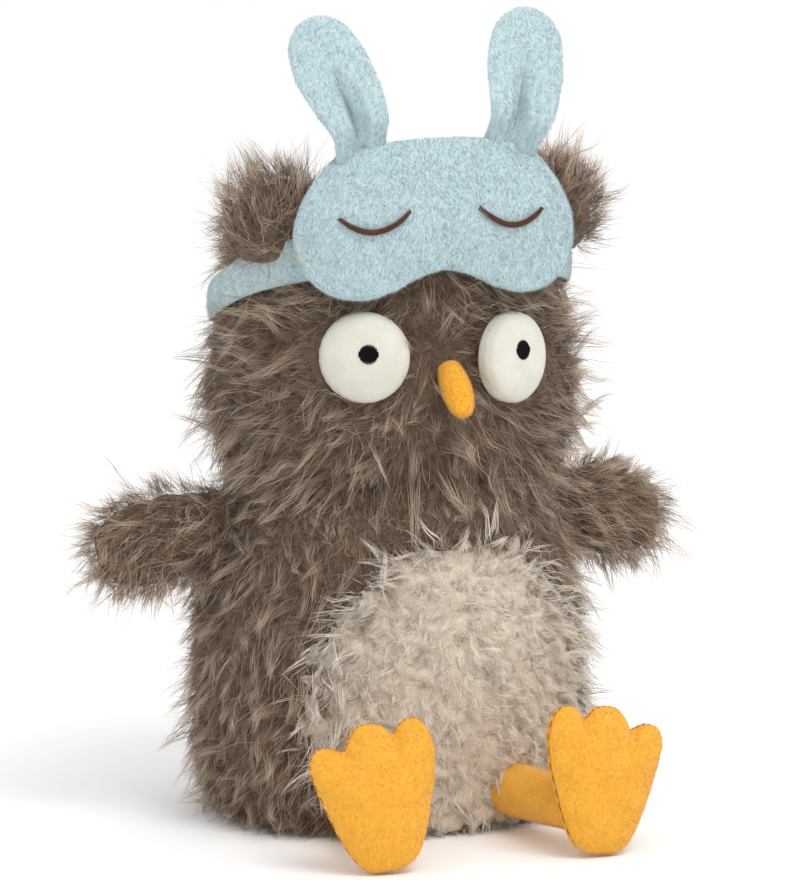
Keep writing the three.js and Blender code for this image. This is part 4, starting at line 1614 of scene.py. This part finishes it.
@dataclass(frozen=True)
class Face:
    """The eye domes with their pupils, and the beak."""

    eye_profile: Profile = Profile(
        ((0.3, -1.2), (0.9, -1.1), (1.0, -0.5), (1.0, -0.1), (0.965, 0.2), (0.88, 0.46), (0.74, 0.68),
         (0.52, 0.87), (0.26, 0.97), (0, 1))
    )
    room_profile: Profile = Profile(((1, 0), (1, 0.5), (1, 1)))
    eye_radius: float = 16.1
    room_share: float = 0.8
    eye_height: float = 5.5
    eye_yaw: float = 32.0
    eye_pitch: float = 3.0
    eye_out: float = 29.0
    eye_at: tuple[float, float] = (171.0, 174.0)
    dimple_share: float = 0.006
    dimple_count: int = 26
    pupil_radius: float = 3.4
    pupil_in: float = 3.0
    pupil_up: tuple[float, float] = (3.2, 1.8)
    pupil_sunk: float = 0.18
    thread_radius: float = 0.36
    beak_profile: Profile = Profile(
        ((0.7, 0), (0.9, 0.18), (1, 0.4), (0.97, 0.6), (0.8, 0.81), (0.48, 0.95), (0, 1))
    )
    beak_radius: float = 5.9
    beak_length: float = 21.0
    beak_root: float = 2.0
    beak_out: float = 2.6
    beak_at: float = 168.0
    beak_pitch: float = 42.0
    beak_inset: float = 0.6
    beak_pile: Pile = replace(
        PLUSH, density=6.0, length=0.7, radius=0.08, spread_share=0.3, lift_share=0.4, lock=1.2,
        draw_share=0.1, loose_share=0.9, frizz=0.15, mottle=0.4,
    )

    def eyes(self) -> list[tuple[Side, Rows, Rows]]:
        """Each eye's side, its place on the head and the way that it looks."""
        tree, found = tree_of(frame["nodes"]["head_cover"]), []
        for side, height in zip(Side, self.eye_at):
            out = turned(turned(AHEAD, ACROSS, -self.eye_pitch), UP, side.value * self.eye_yaw)
            found.append((side, seat_on_front(tree, side.value * self.eye_out, height), out))
        return found

    def dome(self, azimuth: Rows, share: Rows) -> Rows:
        """Places on an eye that looks along Z, with the small dimples of its sewn rim."""
        rows = self.eye_profile.at(azimuth, share, (self.eye_radius, self.eye_radius), self.eye_height)
        rim = np.exp(-(((rows[:, 2] + 0.2) / 1.6) ** 2))
        rows[:, :2] *= 1 - self.dimple_share * rim[:, None] * (
            1 + np.cos(azimuth * TURN * self.dimple_count)[:, None]
        )
        return rows

    def room(self, azimuth: Rows, share: Rows) -> Rows:
        """Places on the wall of the room in front of an eye that looks along Z."""
        radius = self.room_share * self.eye_radius
        return self.room_profile.at(azimuth, share, (radius, radius), 4 * self.eye_height)

    def build(self) -> list[Obj]:
        """Builds the face's pieces, and returns those that the pile keeps clear of."""
        pieces = []
        for (side, seat, out), up in zip(self.eyes(), self.pupil_up):
            eye = ball(f"eye_dome_{side.word}", 104, 48, lambda a, s: aimed(self.dome(a, s), seat, out))
            pieces.append(dress(eye, EYE_CLOTH, "head", [f"eye_{side.word}"]))
            self.pupil(side, eye, seat, out, up)
        return [*pieces, self.beak()]

    def rooms(self) -> list[Obj]:
        """The rooms in front of the eyes that no strand may cross, as scratch objects."""
        return [
            ball(f"eye_room_{side.word}", 32, 12, lambda a, s: aimed(self.room(a, s), seat, out))
            for side, seat, out in self.eyes()
        ]

    def pupil(self, side: Side, eye: Obj, seat: Rows, out: Rows, up: float) -> None:
        """Satin stitches side by side across a disc on the dome.

        Args:
            side: the eye's side.
            eye: its dome.
            seat: its place on the head.
            out: the way that it looks.
            up: how far the pupil stands above its middle.
        """
        surface, radius = tree_of(eye), self.pupil_radius
        lines = []
        for place in np.linspace(-0.96, 0.96, int(2 * radius / (1.5 * self.thread_radius))):
            half = radius * math.sqrt(1 - place * place) + 0.15
            x = place * radius - side.value * self.pupil_in
            row = []
            for share in np.linspace(-1, 1, 7):
                start = aimed(np.array([x, share * half + up, 2 * self.eye_height]), seat, out)
                row.append(hit(surface, start, -out) + out * self.pupil_sunk)
            lines.append(row)
        obj = threads(f"pupil_stitches_{side.word}", np.array(lines), self.thread_radius)
        dress(obj, BLACK_THREAD, "head", [f"pupil_{side.word}"])

    def beak(self) -> Obj:
        """The stuffed beak with its short pile."""
        seat = seat_on_front(tree_of(frame["nodes"]["head_cover"]), self.beak_out, self.beak_at)
        out = turned(AHEAD, ACROSS, self.beak_pitch)
        radius = self.beak_radius - self.beak_inset
        length = self.beak_length + self.beak_root - self.beak_inset

        def rule(azimuth: Rows, share: Rows) -> Rows:
            """Places on the beak."""
            rows = self.beak_profile.at(azimuth, share, (radius, radius), length)
            return aimed(rows - (0, 0, self.beak_root), seat, out)

        beak = ball("beak_skin", 48, 32, rule)
        dress(beak, BEAK_CLOTH, "head", ["beak"])
        shorn("beak_pile", beak, self.beak_pile, steady(out), 61, BEAK_PILE, "head")
        return beak


@dataclass(frozen=True)
class Legs:
    """The legs, tubes of short plush, and the three-toed feet."""

    leg_radius: float = 9.5
    hip_radius: float = 11.0
    inside: float = 8.0
    past_ankle: float = 6.0
    ankle: tuple[float, float, float] = (38.0, -96.0, 15.0)
    gather_share: float = 0.02
    gather_count: int = 11
    skin_inset: float = 1.0
    foot_width: float = 47.5
    foot_height: float = 55.0
    foot_half_thickness: float = 8.0
    foot_place: tuple[float, float] = (39.5, -110.0)
    foot_lean: float = 8.0
    foot_roll: float = 7.0
    foot_yaw: float = 6.0
    middle_share: float = 0.46
    fullness: float = 0.62
    cloth: float = 1.2
    slack: float = 1.0
    outline: Shares = (
        (0, 0), (0.14, 0.01), (0.24, 0.08), (0.34, 0.24), (0.41, 0.42), (0.47, 0.6), (0.5, 0.75),
        (0.46, 0.85), (0.36, 0.88), (0.26, 0.85), (0.21, 0.84), (0.16, 0.91), (0.09, 0.975), (0, 0.99),
        (-0.1, 0.97),
        (-0.16, 0.92), (-0.2, 0.9), (-0.25, 0.945), (-0.34, 0.98), (-0.44, 0.94), (-0.5, 0.8), (-0.48, 0.6),
        (-0.42, 0.42), (-0.35, 0.24), (-0.25, 0.08), (-0.14, 0.01),
    )
    creases: Shares = ((0.235, 0.16), (-0.205, -0.12))
    crease_top: float = 0.86
    crease_width: float = 0.035
    crease_depth: float = 1.3
    stitch_count: int = 52
    stitch_share: float = 0.6
    stitch_radius: float = 0.3
    swelling: Stuffing = Stuffing(voxel=1.8, pressure=4.0, excess_share=0.05, cap=1.8)
    bare_within: float = 12.0
    bare_beyond: float = -0.15
    pile: Pile = replace(
        PLUSH, density=4.6, length=0.75, radius=0.05, lift_share=0.42, lock=1.2, draw_share=0.1,
        loose_share=0.95, stray_share=0.01, frizz=0.08, wave=0.02,
    )

    def toed(self, rows: Rows) -> Rows:
        """Presses soft creases into the flat foot, which run down from between the toes.

        Args:
            rows: places on the foot.

        Returns:
            The places with the creases.
        """
        x, y = rows[:, 0] / self.foot_width, rows[:, 1] / self.foot_height
        crease = np.zeros(len(rows))
        for top, slant in self.creases:
            aside = x - top + slant * (self.crease_top - y)
            crease += np.exp(-((aside / self.crease_width) ** 2)) * smooth(y, 0.5, 0.82)
        depth = crease.clip(0, 1) * np.minimum(self.crease_depth, np.abs(rows[:, 2]) * 0.4)
        return rows - UP * (np.sign(rows[:, 2]) * depth)[:, None]

    def place(self, rows: Rows, lowest: float) -> Rows:
        """Places of the flat left foot, sole towards Z, on the floor."""
        rows = turned(rows, UP, -self.foot_roll)
        rows = turned(rows, ACROSS, 90 - self.foot_lean)
        rows = turned(rows, UP, self.foot_yaw)
        return rows + (*self.foot_place, -lowest)

    def pad(self) -> Pad:
        """The flat foot's cloth form."""
        width, height = self.foot_width - 2 * self.skin_inset, self.foot_height - 2 * self.skin_inset
        crown = self.foot_half_thickness - self.skin_inset - self.slack
        return Pad(self.outline, width, height, crown, self.middle_share, self.fullness)

    def build(self) -> list[Obj]:
        """Builds legs and feet, and returns those that the pile keeps clear of."""
        pad, rise = self.pad(), np.array([0, self.skin_inset, 0])
        azimuth, share = np.meshgrid(np.linspace(0, 1, 120), np.linspace(0, 1, 60))
        whole = self.place(pad.at(azimuth.ravel(), share.ravel()) + rise, 0.0)
        lowest = whole[:, 2].min() - self.skin_inset * 0.6
        swell = self.swelling.swell(ball("foot_guide", 96, 48, pad.at))
        sole_way = self.place(UP[None], 0.0)[0] - self.place(np.zeros((1, 3)), 0.0)[0]
        found = []
        for part, sign in (("sole", 1), ("upper", -1)):
            rule, name = half_shell(pad, self.cloth, sign), f"foot_{part}_skin"
            foot = ball(name, 112, 56, lambda a, s: self.place(swell(self.toed(rule(a, s))) + rise, lowest))
            for side, obj in two_sided(foot, name).items():
                found.append(self.dressed(obj, side, f"foot_{part}"))
                outer = shown_side(sole_way * (side.value, 1, 1) * sign, self.bare_beyond)
                self.fuzz(f"foot_{part}_pile", obj, side, 71 + sign + side.value, self.pile, outer)
        self.stitches(pad, lowest)
        thin = replace(self.pile, density=self.pile.density * 0.5)
        for side, obj in self.shafts().items():
            self.dressed(obj, side, "leg")
            self.fuzz("leg_pile", obj, side, 75 + side.value, thin, everywhere)
            stuffing(f"leg_filling_{side.word}", 0.6, f"leg_{side.word}")
            stuffing(f"foot_filling_{side.word}", 0.8, f"leg_{side.word}")
            found.append(obj)
        return found

    def dressed(self, obj: Obj, side: Side, node: str) -> Obj:
        """Finishes a skin of one side."""
        return dress(obj, ORANGE_CLOTH, f"leg_{side.word}", [f"{node}_{side.word}"])

    def fuzz(self, name: str, skin: Obj, side: Side, seed: int, pile: Pile, outer: Keep) -> None:
        """Short plush on the outside of a skin, clear of the body.

        Args:
            name: the piece's name without its side.
            skin: the skin.
            side: its side.
            seed: picks the strands.
            pile: how it grows.
            outer: tells where the cloth's outside is.
        """
        edge = box_of("body_cover")[0][1] + self.bare_within
        flow = combed(steady(UP * 0.6 + AHEAD * 0.3), 25, 12, seed)
        shorn(
            f"{name}_{side.word}", skin, pile, flow, seed, ORANGE_PILE, f"leg_{side.word}",
            lambda p, n: outer(p, n) & (p[:, 1] < edge),
        )

    def stitches(self, pad: Pad, lowest: float) -> None:
        """Sews the closing stitches round each foot, sunk in its seam.

        Args:
            pad: the flat foot.
            lowest: how far below the floor it would reach.
        """
        lines = []
        for start in np.arange(self.stitch_count) / self.stitch_count:
            azimuth = start + np.linspace(0, self.stitch_share / self.stitch_count, 4)
            rows = pad.at(azimuth % 1.0, np.full(4, 0.5))
            rows[:, :2] -= unit(rows[:, :2] - pad.middle()) * (SEAM_PULL - self.stitch_radius)
            lines.append(self.place(rows + (0, self.skin_inset, 0), lowest))
        for side in Side:
            mirrored = np.array(lines) * (side.value, 1, 1)
            obj = threads(f"foot_seam_stitches_{side.word}", mirrored, self.stitch_radius, 5)
            dress(obj, ORANGE_THREAD, f"leg_{side.word}")

    def shafts(self) -> dict[Side, Obj]:
        """The legs from inside the body to the feet, gathered a little at both ends."""
        hip, ankle = pivot_of("leg_left_swing"), np.array(self.ankle)
        along = unit(ankle - hip)
        side = unit(np.cross(UP, along))
        top = np.cross(along, side)
        start, end = hip - along * self.inside, ankle + along * self.past_ankle
        angle = np.linspace(0, TURN, 48, endpoint=False)
        ring = np.cos(angle)[:, None] * side + np.sin(angle)[:, None] * top
        rings = []
        for share in np.linspace(0, 1, 40):
            radius = self.hip_radius + (self.leg_radius - self.hip_radius) * share - self.skin_inset
            waves = np.cos(angle * self.gather_count + 1) * abs(2 * share - 1) ** 2
            radii = radius * (1 + self.gather_share * waves)
            rings.append(start + (end - start) * share + ring * radii[:, None])
        return two_sided(tubes("leg_skin", np.array([rings])), "leg_skin")


@dataclass(frozen=True)
class SleepMask:
    """The padded mask with closed eyelids and bunny ears, bent round the brow."""

    width: float = 114.0
    height: float = 55.0
    half_thickness: float = 6.5
    bend_radius: float = 160.0
    lean: float = 10.0
    middle: tuple[float, float, float] = (0.0, -58.0, 221.0)
    fullness: float = 0.6
    skin_inset: float = 1.0
    trim: float = 3.0
    slack: float = 1.6
    cloth: float = 1.2
    outline: Shares = (
        (0, -0.33), (0.09, -0.37), (0.18, -0.45), (0.28, -0.5), (0.39, -0.45), (0.47, -0.3), (0.5, -0.08),
        (0.48, 0.12), (0.42, 0.32), (0.33, 0.49), (0.18, 0.555), (0, 0.575), (-0.18, 0.555), (-0.33, 0.49),
        (-0.42, 0.32), (-0.48, 0.12), (-0.5, -0.08), (-0.47, -0.3), (-0.39, -0.45), (-0.28, -0.5),
        (-0.18, -0.45), (-0.09, -0.37),
    )
    dent: float = 0.5
    brow: float = 1.1
    brow_at: float = 11.0
    brow_width: float = 5.0
    lid_out: tuple[float, float] = (23.2, 25.8)
    lid_width: float = 24.0
    lid_sag: float = 6.0
    lid_rise: float = 3.5
    lid_tilt: float = 3.0
    lid_stitch: float = 2.4
    lid_slant: float = 0.35
    lid_count: int = 44
    lid_lift: float = 1.3
    lid_crown: float = 0.5
    lid_radius: float = 0.36
    ear_width: float = 29.5
    ear_length: float = 50.5
    ear_half_thickness: float = 4.0
    ear_lean: float = 16.0
    ear_tilt: float = 15.0
    ear_fullness: float = 0.7
    ear_inset: float = 0.8
    ear_fold: float = 8.2
    ear_hollow: float = 2.2
    ear_tuck: float = 3.2
    ear_slack: float = 0.7
    ear_outline: Shares = (
        (0, 0), (0.34, 0.01), (0.4, 0.13), (0.475, 0.32), (0.515, 0.52), (0.5, 0.69), (0.42, 0.86),
        (0.22, 0.97), (0, 1), (-0.22, 0.97), (-0.42, 0.86), (-0.5, 0.69), (-0.515, 0.52), (-0.475, 0.32),
        (-0.4, 0.13), (-0.34, 0.01),
    )
    swelling: Stuffing = Stuffing(voxel=2.2, pressure=4.0, excess_share=0.06, cap=3.0)
    ear_swelling: Stuffing = Stuffing(voxel=1.6, pressure=3.0, excess_share=0.05, cap=1.4, held=0.8)
    pile: Pile = replace(PLUSH, density=5.6, droop_share=0.2)
    back_density_share: float = 0.2
    bare_beyond: tuple[float, float] = (-0.15, -0.1)

    def bent(self, rows: Rows) -> Rows:
        """Places of the flat mask, its front towards Z, bent round the brow."""
        out = turned(AHEAD, ACROSS, -self.lean)
        angle, radius = rows[..., :1] / self.bend_radius, self.bend_radius + rows[..., 2:3]
        place = ACROSS * radius * np.sin(angle) + out * (radius * np.cos(angle) - self.bend_radius)
        return np.array(self.middle) + place + np.cross(out, ACROSS) * rows[..., 1:2]

    def slept_in(self, rows: Rows, sign: int) -> Rows:
        """Soft dents in one side of the flat mask, none at its seam, and a hollow above the eyelids."""
        dents = self.dent * (ripple(rows, 34, 7) + 0.35 * ripple(rows, 13, 8))
        hollow = np.exp(-(((rows[:, 1] - self.brow_at) / self.brow_width) ** 2))
        dents -= self.brow * hollow * (1 - smooth(np.abs(rows[:, 0]), 25, 45))
        return rows + UP * (dents * smooth(rows[:, 2] * sign, 0.5, 4.0) * sign)[:, None]

    def pad(self) -> Pad:
        """The flat mask's cloth form."""
        inset = 2 * self.skin_inset
        crown = self.half_thickness - self.skin_inset - self.slack
        return Pad(
            self.outline, self.width - self.trim - inset, self.height - inset, crown, 0.0, self.fullness
        )

    def build(self) -> list[Obj]:
        """Builds the mask, and returns the pieces that the pile keeps clear of."""
        pad, found = self.pad(), []
        swell = self.swelling.swell(ball("mask_guide", 128, 56, pad.at))
        lids = self.lid_lines(swell)
        bare = self.beside(lids)
        thin = replace(self.pile, density=self.pile.density * self.back_density_share)
        sides = zip(("front", "lining"), (1, -1), (self.pile, thin), self.bare_beyond)
        for part, sign, pile, least in sides:
            rule, name = half_shell(pad, self.cloth, sign), f"mask_{part}_skin"
            obj = ball(name, 144, 64, lambda a, s: self.bent(self.slept_in(swell(rule(a, s)), sign)))
            dress(obj, BLUE_CLOTH, "mask", [f"mask_{part}"])
            found.append(obj)
            outer = shown_side(turned(AHEAD, ACROSS, -self.lean) * sign, least)
            self.fuzz(
                f"mask_{part}_pile", obj, "mask", pile, 81 + sign, lambda p, n: outer(p, n) & bare(p, n)
            )
        stuffing("mask_padding", 1.0, "mask")
        for side, obj in self.ears().items():
            body = f"mask_ear_{side.word}"
            dress(obj, BLUE_CLOTH, body, [body])
            self.fuzz(f"mask_ear_pile_{side.word}", obj, body, PLUSH, 85 + side.value, everywhere)
            found.append(obj)
        for side, lines in lids.items():
            obj = threads(f"eyelid_stitches_{side.word}", lines, self.lid_radius)
            dress(obj, LID_THREAD, "mask", [f"eyelid_{side.word}"])
        return found

    def lid_lines(self, swell: Swell) -> dict[Side, Rows]:
        """Lays the eyelids' slanted satin stitches over arcs on the mask's front.

        Args:
            swell: how the stuffed mask swells.

        Returns:
            Each side's stitches, as an array of lines, points and coordinates.
        """
        flat = ball("lid_guide", 96, 48, lambda a, s: self.slept_in(swell(self.pad().at(a, s)), 1))
        tree = tree_of(flat)
        bpy.data.objects.remove(flat)
        found = {}
        for side, out in zip(Side, self.lid_out):
            lines = []
            for share in np.linspace(-1, 1, self.lid_count):
                x = out + share * self.lid_width / 2
                tilt = math.tan(math.radians(self.lid_tilt)) * (out - x)
                y = tilt + self.lid_rise - self.lid_sag * (1 - share * share)
                angle = math.atan2(4 * self.lid_sag * share / self.lid_width, 1.0) + self.lid_slant
                across = np.array([-math.sin(angle), math.cos(angle)])
                half = self.lid_stitch / 2 * (1 - 0.25 * abs(share) ** 4)
                row = []
                for step in np.linspace(-1, 1, 5):
                    place = np.array([x, y]) + across * half * step
                    top = hit(tree, np.array([side.value * place[0], place[1], 30.0]), -UP)
                    row.append(self.bent(top + UP * (self.lid_lift + self.lid_crown * (1 - step * step))))
                lines.append(row)
            found[side] = np.array(lines)
        return found

    def beside(self, lids: dict[Side, Rows]) -> Keep:
        """Keeps the stitches' ground bare."""
        marks = np.concatenate([lines.reshape(-1, 3) for lines in lids.values()])
        return lambda points, normals: (
            np.linalg.norm(points - marks[nearest(points, marks)], axis=1) > self.lid_lift
        )

    def ears(self) -> dict[Side, Obj]:
        """The bunny ears, folded together at the root."""
        root, inset = pivot_of("mask_ear_left_bend"), self.ear_inset
        crown = self.ear_half_thickness - inset - self.ear_slack
        width, length = self.ear_width - 2 * inset, self.ear_length - inset
        pad = Pad(self.ear_outline, width, length, crown, 0.5, self.ear_fullness)
        swell = self.ear_swelling.swell(ball("ear_guide", 72, 40, pad.at))

        def rule(azimuth: Rows, share: Rows) -> Rows:
            """Places on the left ear."""
            rows = swell(pad.at(azimuth, share))
            height, reach = rows[:, 1] / self.ear_length, np.abs(rows[:, 0]) / (self.ear_width / 2)
            gather, pinch = 1 - smooth(height, 0.1, 0.7), smooth(height, -0.03, 0.24)
            rows[:, 2] *= 0.35 + 0.65 * pinch
            valley = (self.ear_fold * gather + self.ear_hollow * (1 - smooth(height, 0.55, 0.95))) * pinch
            rows[:, 2] += valley * (1 - (1 - np.clip(reach, 0, 1)) ** 3)
            rows[:, 2] += 0.45 * gather * np.cos(rows[:, 0] * 1.5 + 6 * height) + 0.3 * ripple(rows, 11, 9)
            rows[:, 0] *= 1 - 0.06 * gather
            rows[:, 1] = rows[:, 1] * (1 + self.ear_tuck / self.ear_length) - self.ear_tuck
            return turned(turned(rows, UP, -self.ear_lean), ACROSS, 90 - self.ear_tilt) + root

        return two_sided(ball("mask_ear_skin", 96, 56, rule), "mask_ear_skin")

    def fuzz(self, name: str, skin: Obj, body: str, pile: Pile, seed: int, keep: Keep) -> None:
        """Short plush on a skin, combed down.

        Args:
            name: the piece's name.
            skin: the skin.
            body: the body that it rides on.
            pile: how it grows.
            seed: picks the strands.
            keep: tells where it grows.
        """
        flow = combed(steady(-UP), 22, 14, seed)
        shorn(name, skin, pile, flow, seed, BLUE_PILE, body, keep)


@dataclass(frozen=True)
class Strap:
    """The mask's elastic plush strap round the back of the head."""

    half_widths: tuple[float, float] = (5.5, 8.6)
    half_thickness: float = 1.8
    clearance: float = -0.4
    heights: tuple[float, ...] = (209.0, 184.5, 167.0, 185.5, 206.0)
    end_angle: float = 130.0
    steps: int = 150
    ruche_shares: tuple[float, float] = (0.1, 0.06)
    skin_inset: float = 0.5
    bare_beyond: float = -0.3
    pile: Pile = replace(PLUSH, density=3.4, length=1.2)

    def rings(self, centre: Rows, far: float) -> Rows:
        """The tube's rings, laid on the head.

        Args:
            centre: the head's middle.
            far: a distance from it that is well outside.

        Returns:
            An array of rings, points and coordinates.
        """
        tree, rings = tree_of(frame["nodes"]["head_cover"]), []
        turn = np.linspace(0, TURN, 24, endpoint=False)
        middle_half, end_half = self.half_widths
        for i in range(self.steps + 1):
            share = 2 * i / self.steps - 1
            angle = share * math.radians(self.end_angle)
            height = curve([(h, 0) for h in self.heights], np.array([i / self.steps]))[0, 0]
            out = np.array([math.sin(angle), math.cos(angle), 0.0])
            touch = hit(tree, np.array([centre[0], centre[1], height]) + out * far, -out)
            waves = zip(self.ruche_shares, (1.9, 3.7))
            ruche = 1 + sum(depth * math.sin(i * pace) for depth, pace in waves)
            half = middle_half + (end_half - middle_half) * abs(share) - self.skin_inset
            thick = (self.half_thickness - self.skin_inset) * ruche
            middle = touch + out * (self.clearance + self.half_thickness)
            rings.append(middle + np.cos(turn)[:, None] * UP * half + np.sin(turn)[:, None] * out * thick)
        return np.array(rings)

    def build(self) -> Obj:
        """Builds the strap, which stretches between head and mask, and returns its skin."""
        low, high = box_of("head_cover")
        centre = (low + high) / 2

        def shown(points: Rows, normals: Rows) -> Rows:
            """Keeps the side away from the head."""
            away = (points - centre) * (1, 1, 0)
            return (normals * away).sum(1) > self.bare_beyond * np.linalg.norm(away, axis=1)

        skin = tubes("mask_strap_skin", self.rings(centre, 3 * high[0])[None])
        dress(skin, BLUE_CLOTH, "", ["mask_strap"])
        flow = combed(steady(-UP), 40, 8, 91)
        pile = shorn("mask_strap_pile", skin, self.pile, flow, 91, BLUE_PILE, "", shown)
        for piece in (skin, pile):
            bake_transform(piece)
        return skin


# The studio


@dataclass(frozen=True)
class Studio:
    """The photograph's view and light. Its lengths are metres.

    The camera looks from the owl's right, a little above, from far away with a long lens.
    """

    azimuth: float = -21.0
    elevation: float = 9.5
    distance: float = 3.0
    lens: float = 340.9
    sensor: float = 36.0
    target_height: float = 0.145
    target_aside: float = 0.0061
    target_drop: float = 0.0107
    light_place: tuple[float, float, float] = (0.3, -1.2, 1.7)
    light_size: float = 1.0
    light_power: float = 16.0
    light_target: tuple[float, float, float] = (0.0, 0.0, 0.12)
    floor_size: float = 30.0
    white: str = "#ffffff"

    def camera(self) -> None:
        """Adds the camera."""
        azimuth, elevation = math.radians(self.azimuth), math.radians(self.elevation)
        level = math.cos(elevation)
        back = Vector((math.sin(azimuth) * level, -math.cos(azimuth) * level, math.sin(elevation)))
        right = Vector((math.cos(azimuth), math.sin(azimuth), 0.0))
        target = UP * self.target_height + right * self.target_aside - back.cross(right) * self.target_drop
        data = bpy.data.cameras.new("camera")
        data.lens, data.sensor_width, data.clip_end = self.lens, self.sensor, 50.0
        obj = linked("camera", data)
        obj.rotation_euler = back.to_track_quat("Z", "Y").to_euler()
        obj.location = Vector(target) + back * self.distance
        bpy.context.scene.camera = obj

    def light(self) -> None:
        """Adds a soft square light aimed at the owl's middle, and a white surround."""
        data = bpy.data.lights.new("key", "AREA")
        data.size, data.energy = self.light_size, self.light_power
        obj = linked("key", data)
        obj.location = self.light_place
        way = Vector(self.light_place) - Vector(self.light_target)
        obj.rotation_euler = way.to_track_quat("Z", "Y").to_euler()
        world = bpy.data.worlds.new("surround")
        world.use_nodes = True
        world.node_tree.nodes.clear()
        glow = add_node(world.node_tree, "Background", {"Color": linear(self.white), "Strength": 1.0})
        add_node(world.node_tree, "OutputWorld", links={"Surface": glow.outputs[0]})
        bpy.context.scene.world = world

    def build(self) -> None:
        """Builds the studio, with a pale floor."""
        bpy.context.scene.view_settings.view_transform = "Standard"
        self.camera()
        self.light()
        bpy.ops.mesh.primitive_plane_add(size=self.floor_size, location=(0, 0, 0))
        floor = bpy.context.object
        floor.name = "floor"
        floor.data.materials.append(FLOOR_PAPER.material())


# How deep strands may reach into a piece: not at all, into the roots' ground, and well off the strap.
CLEAR, SUNK, OFF = 0.0, 3.0, -1.6


def main() -> None:
    """Builds the studio and the owl."""
    logging.basicConfig(level=logging.INFO, format="%(message)s")
    Studio().build()
    body, head, tufts, wings, face = Body(), Head(), Tufts(), Wings(), Face()
    body_skin, patch = body.build()
    head_skin = head.build()
    tuft_skins = tufts.build()
    wing_skins = wings.build()
    features, rooms = face.build(), face.rooms()
    limbs = Legs().build()
    masked = [(obj, CLEAR) for obj in SleepMask().build()]
    strap = (Strap().build(), OFF)
    body.grow_pile(body_skin, patch, [(obj, CLEAR) for obj in wing_skins.values()], limbs)
    roots = [(obj, SUNK) for obj in tuft_skins.values()]
    head.grow_pile(head_skin, [*masked, *roots, strap, *((room, CLEAR) for room in rooms)], features)
    for room in rooms:
        bpy.data.objects.remove(room)
    tufts.grow_pile(tuft_skins, [*masked, (head_skin, SUNK), strap])
    wings.grow_pile(wing_skins, [(body_skin, CLEAR)])


if __name__ == "__main__":
    main()
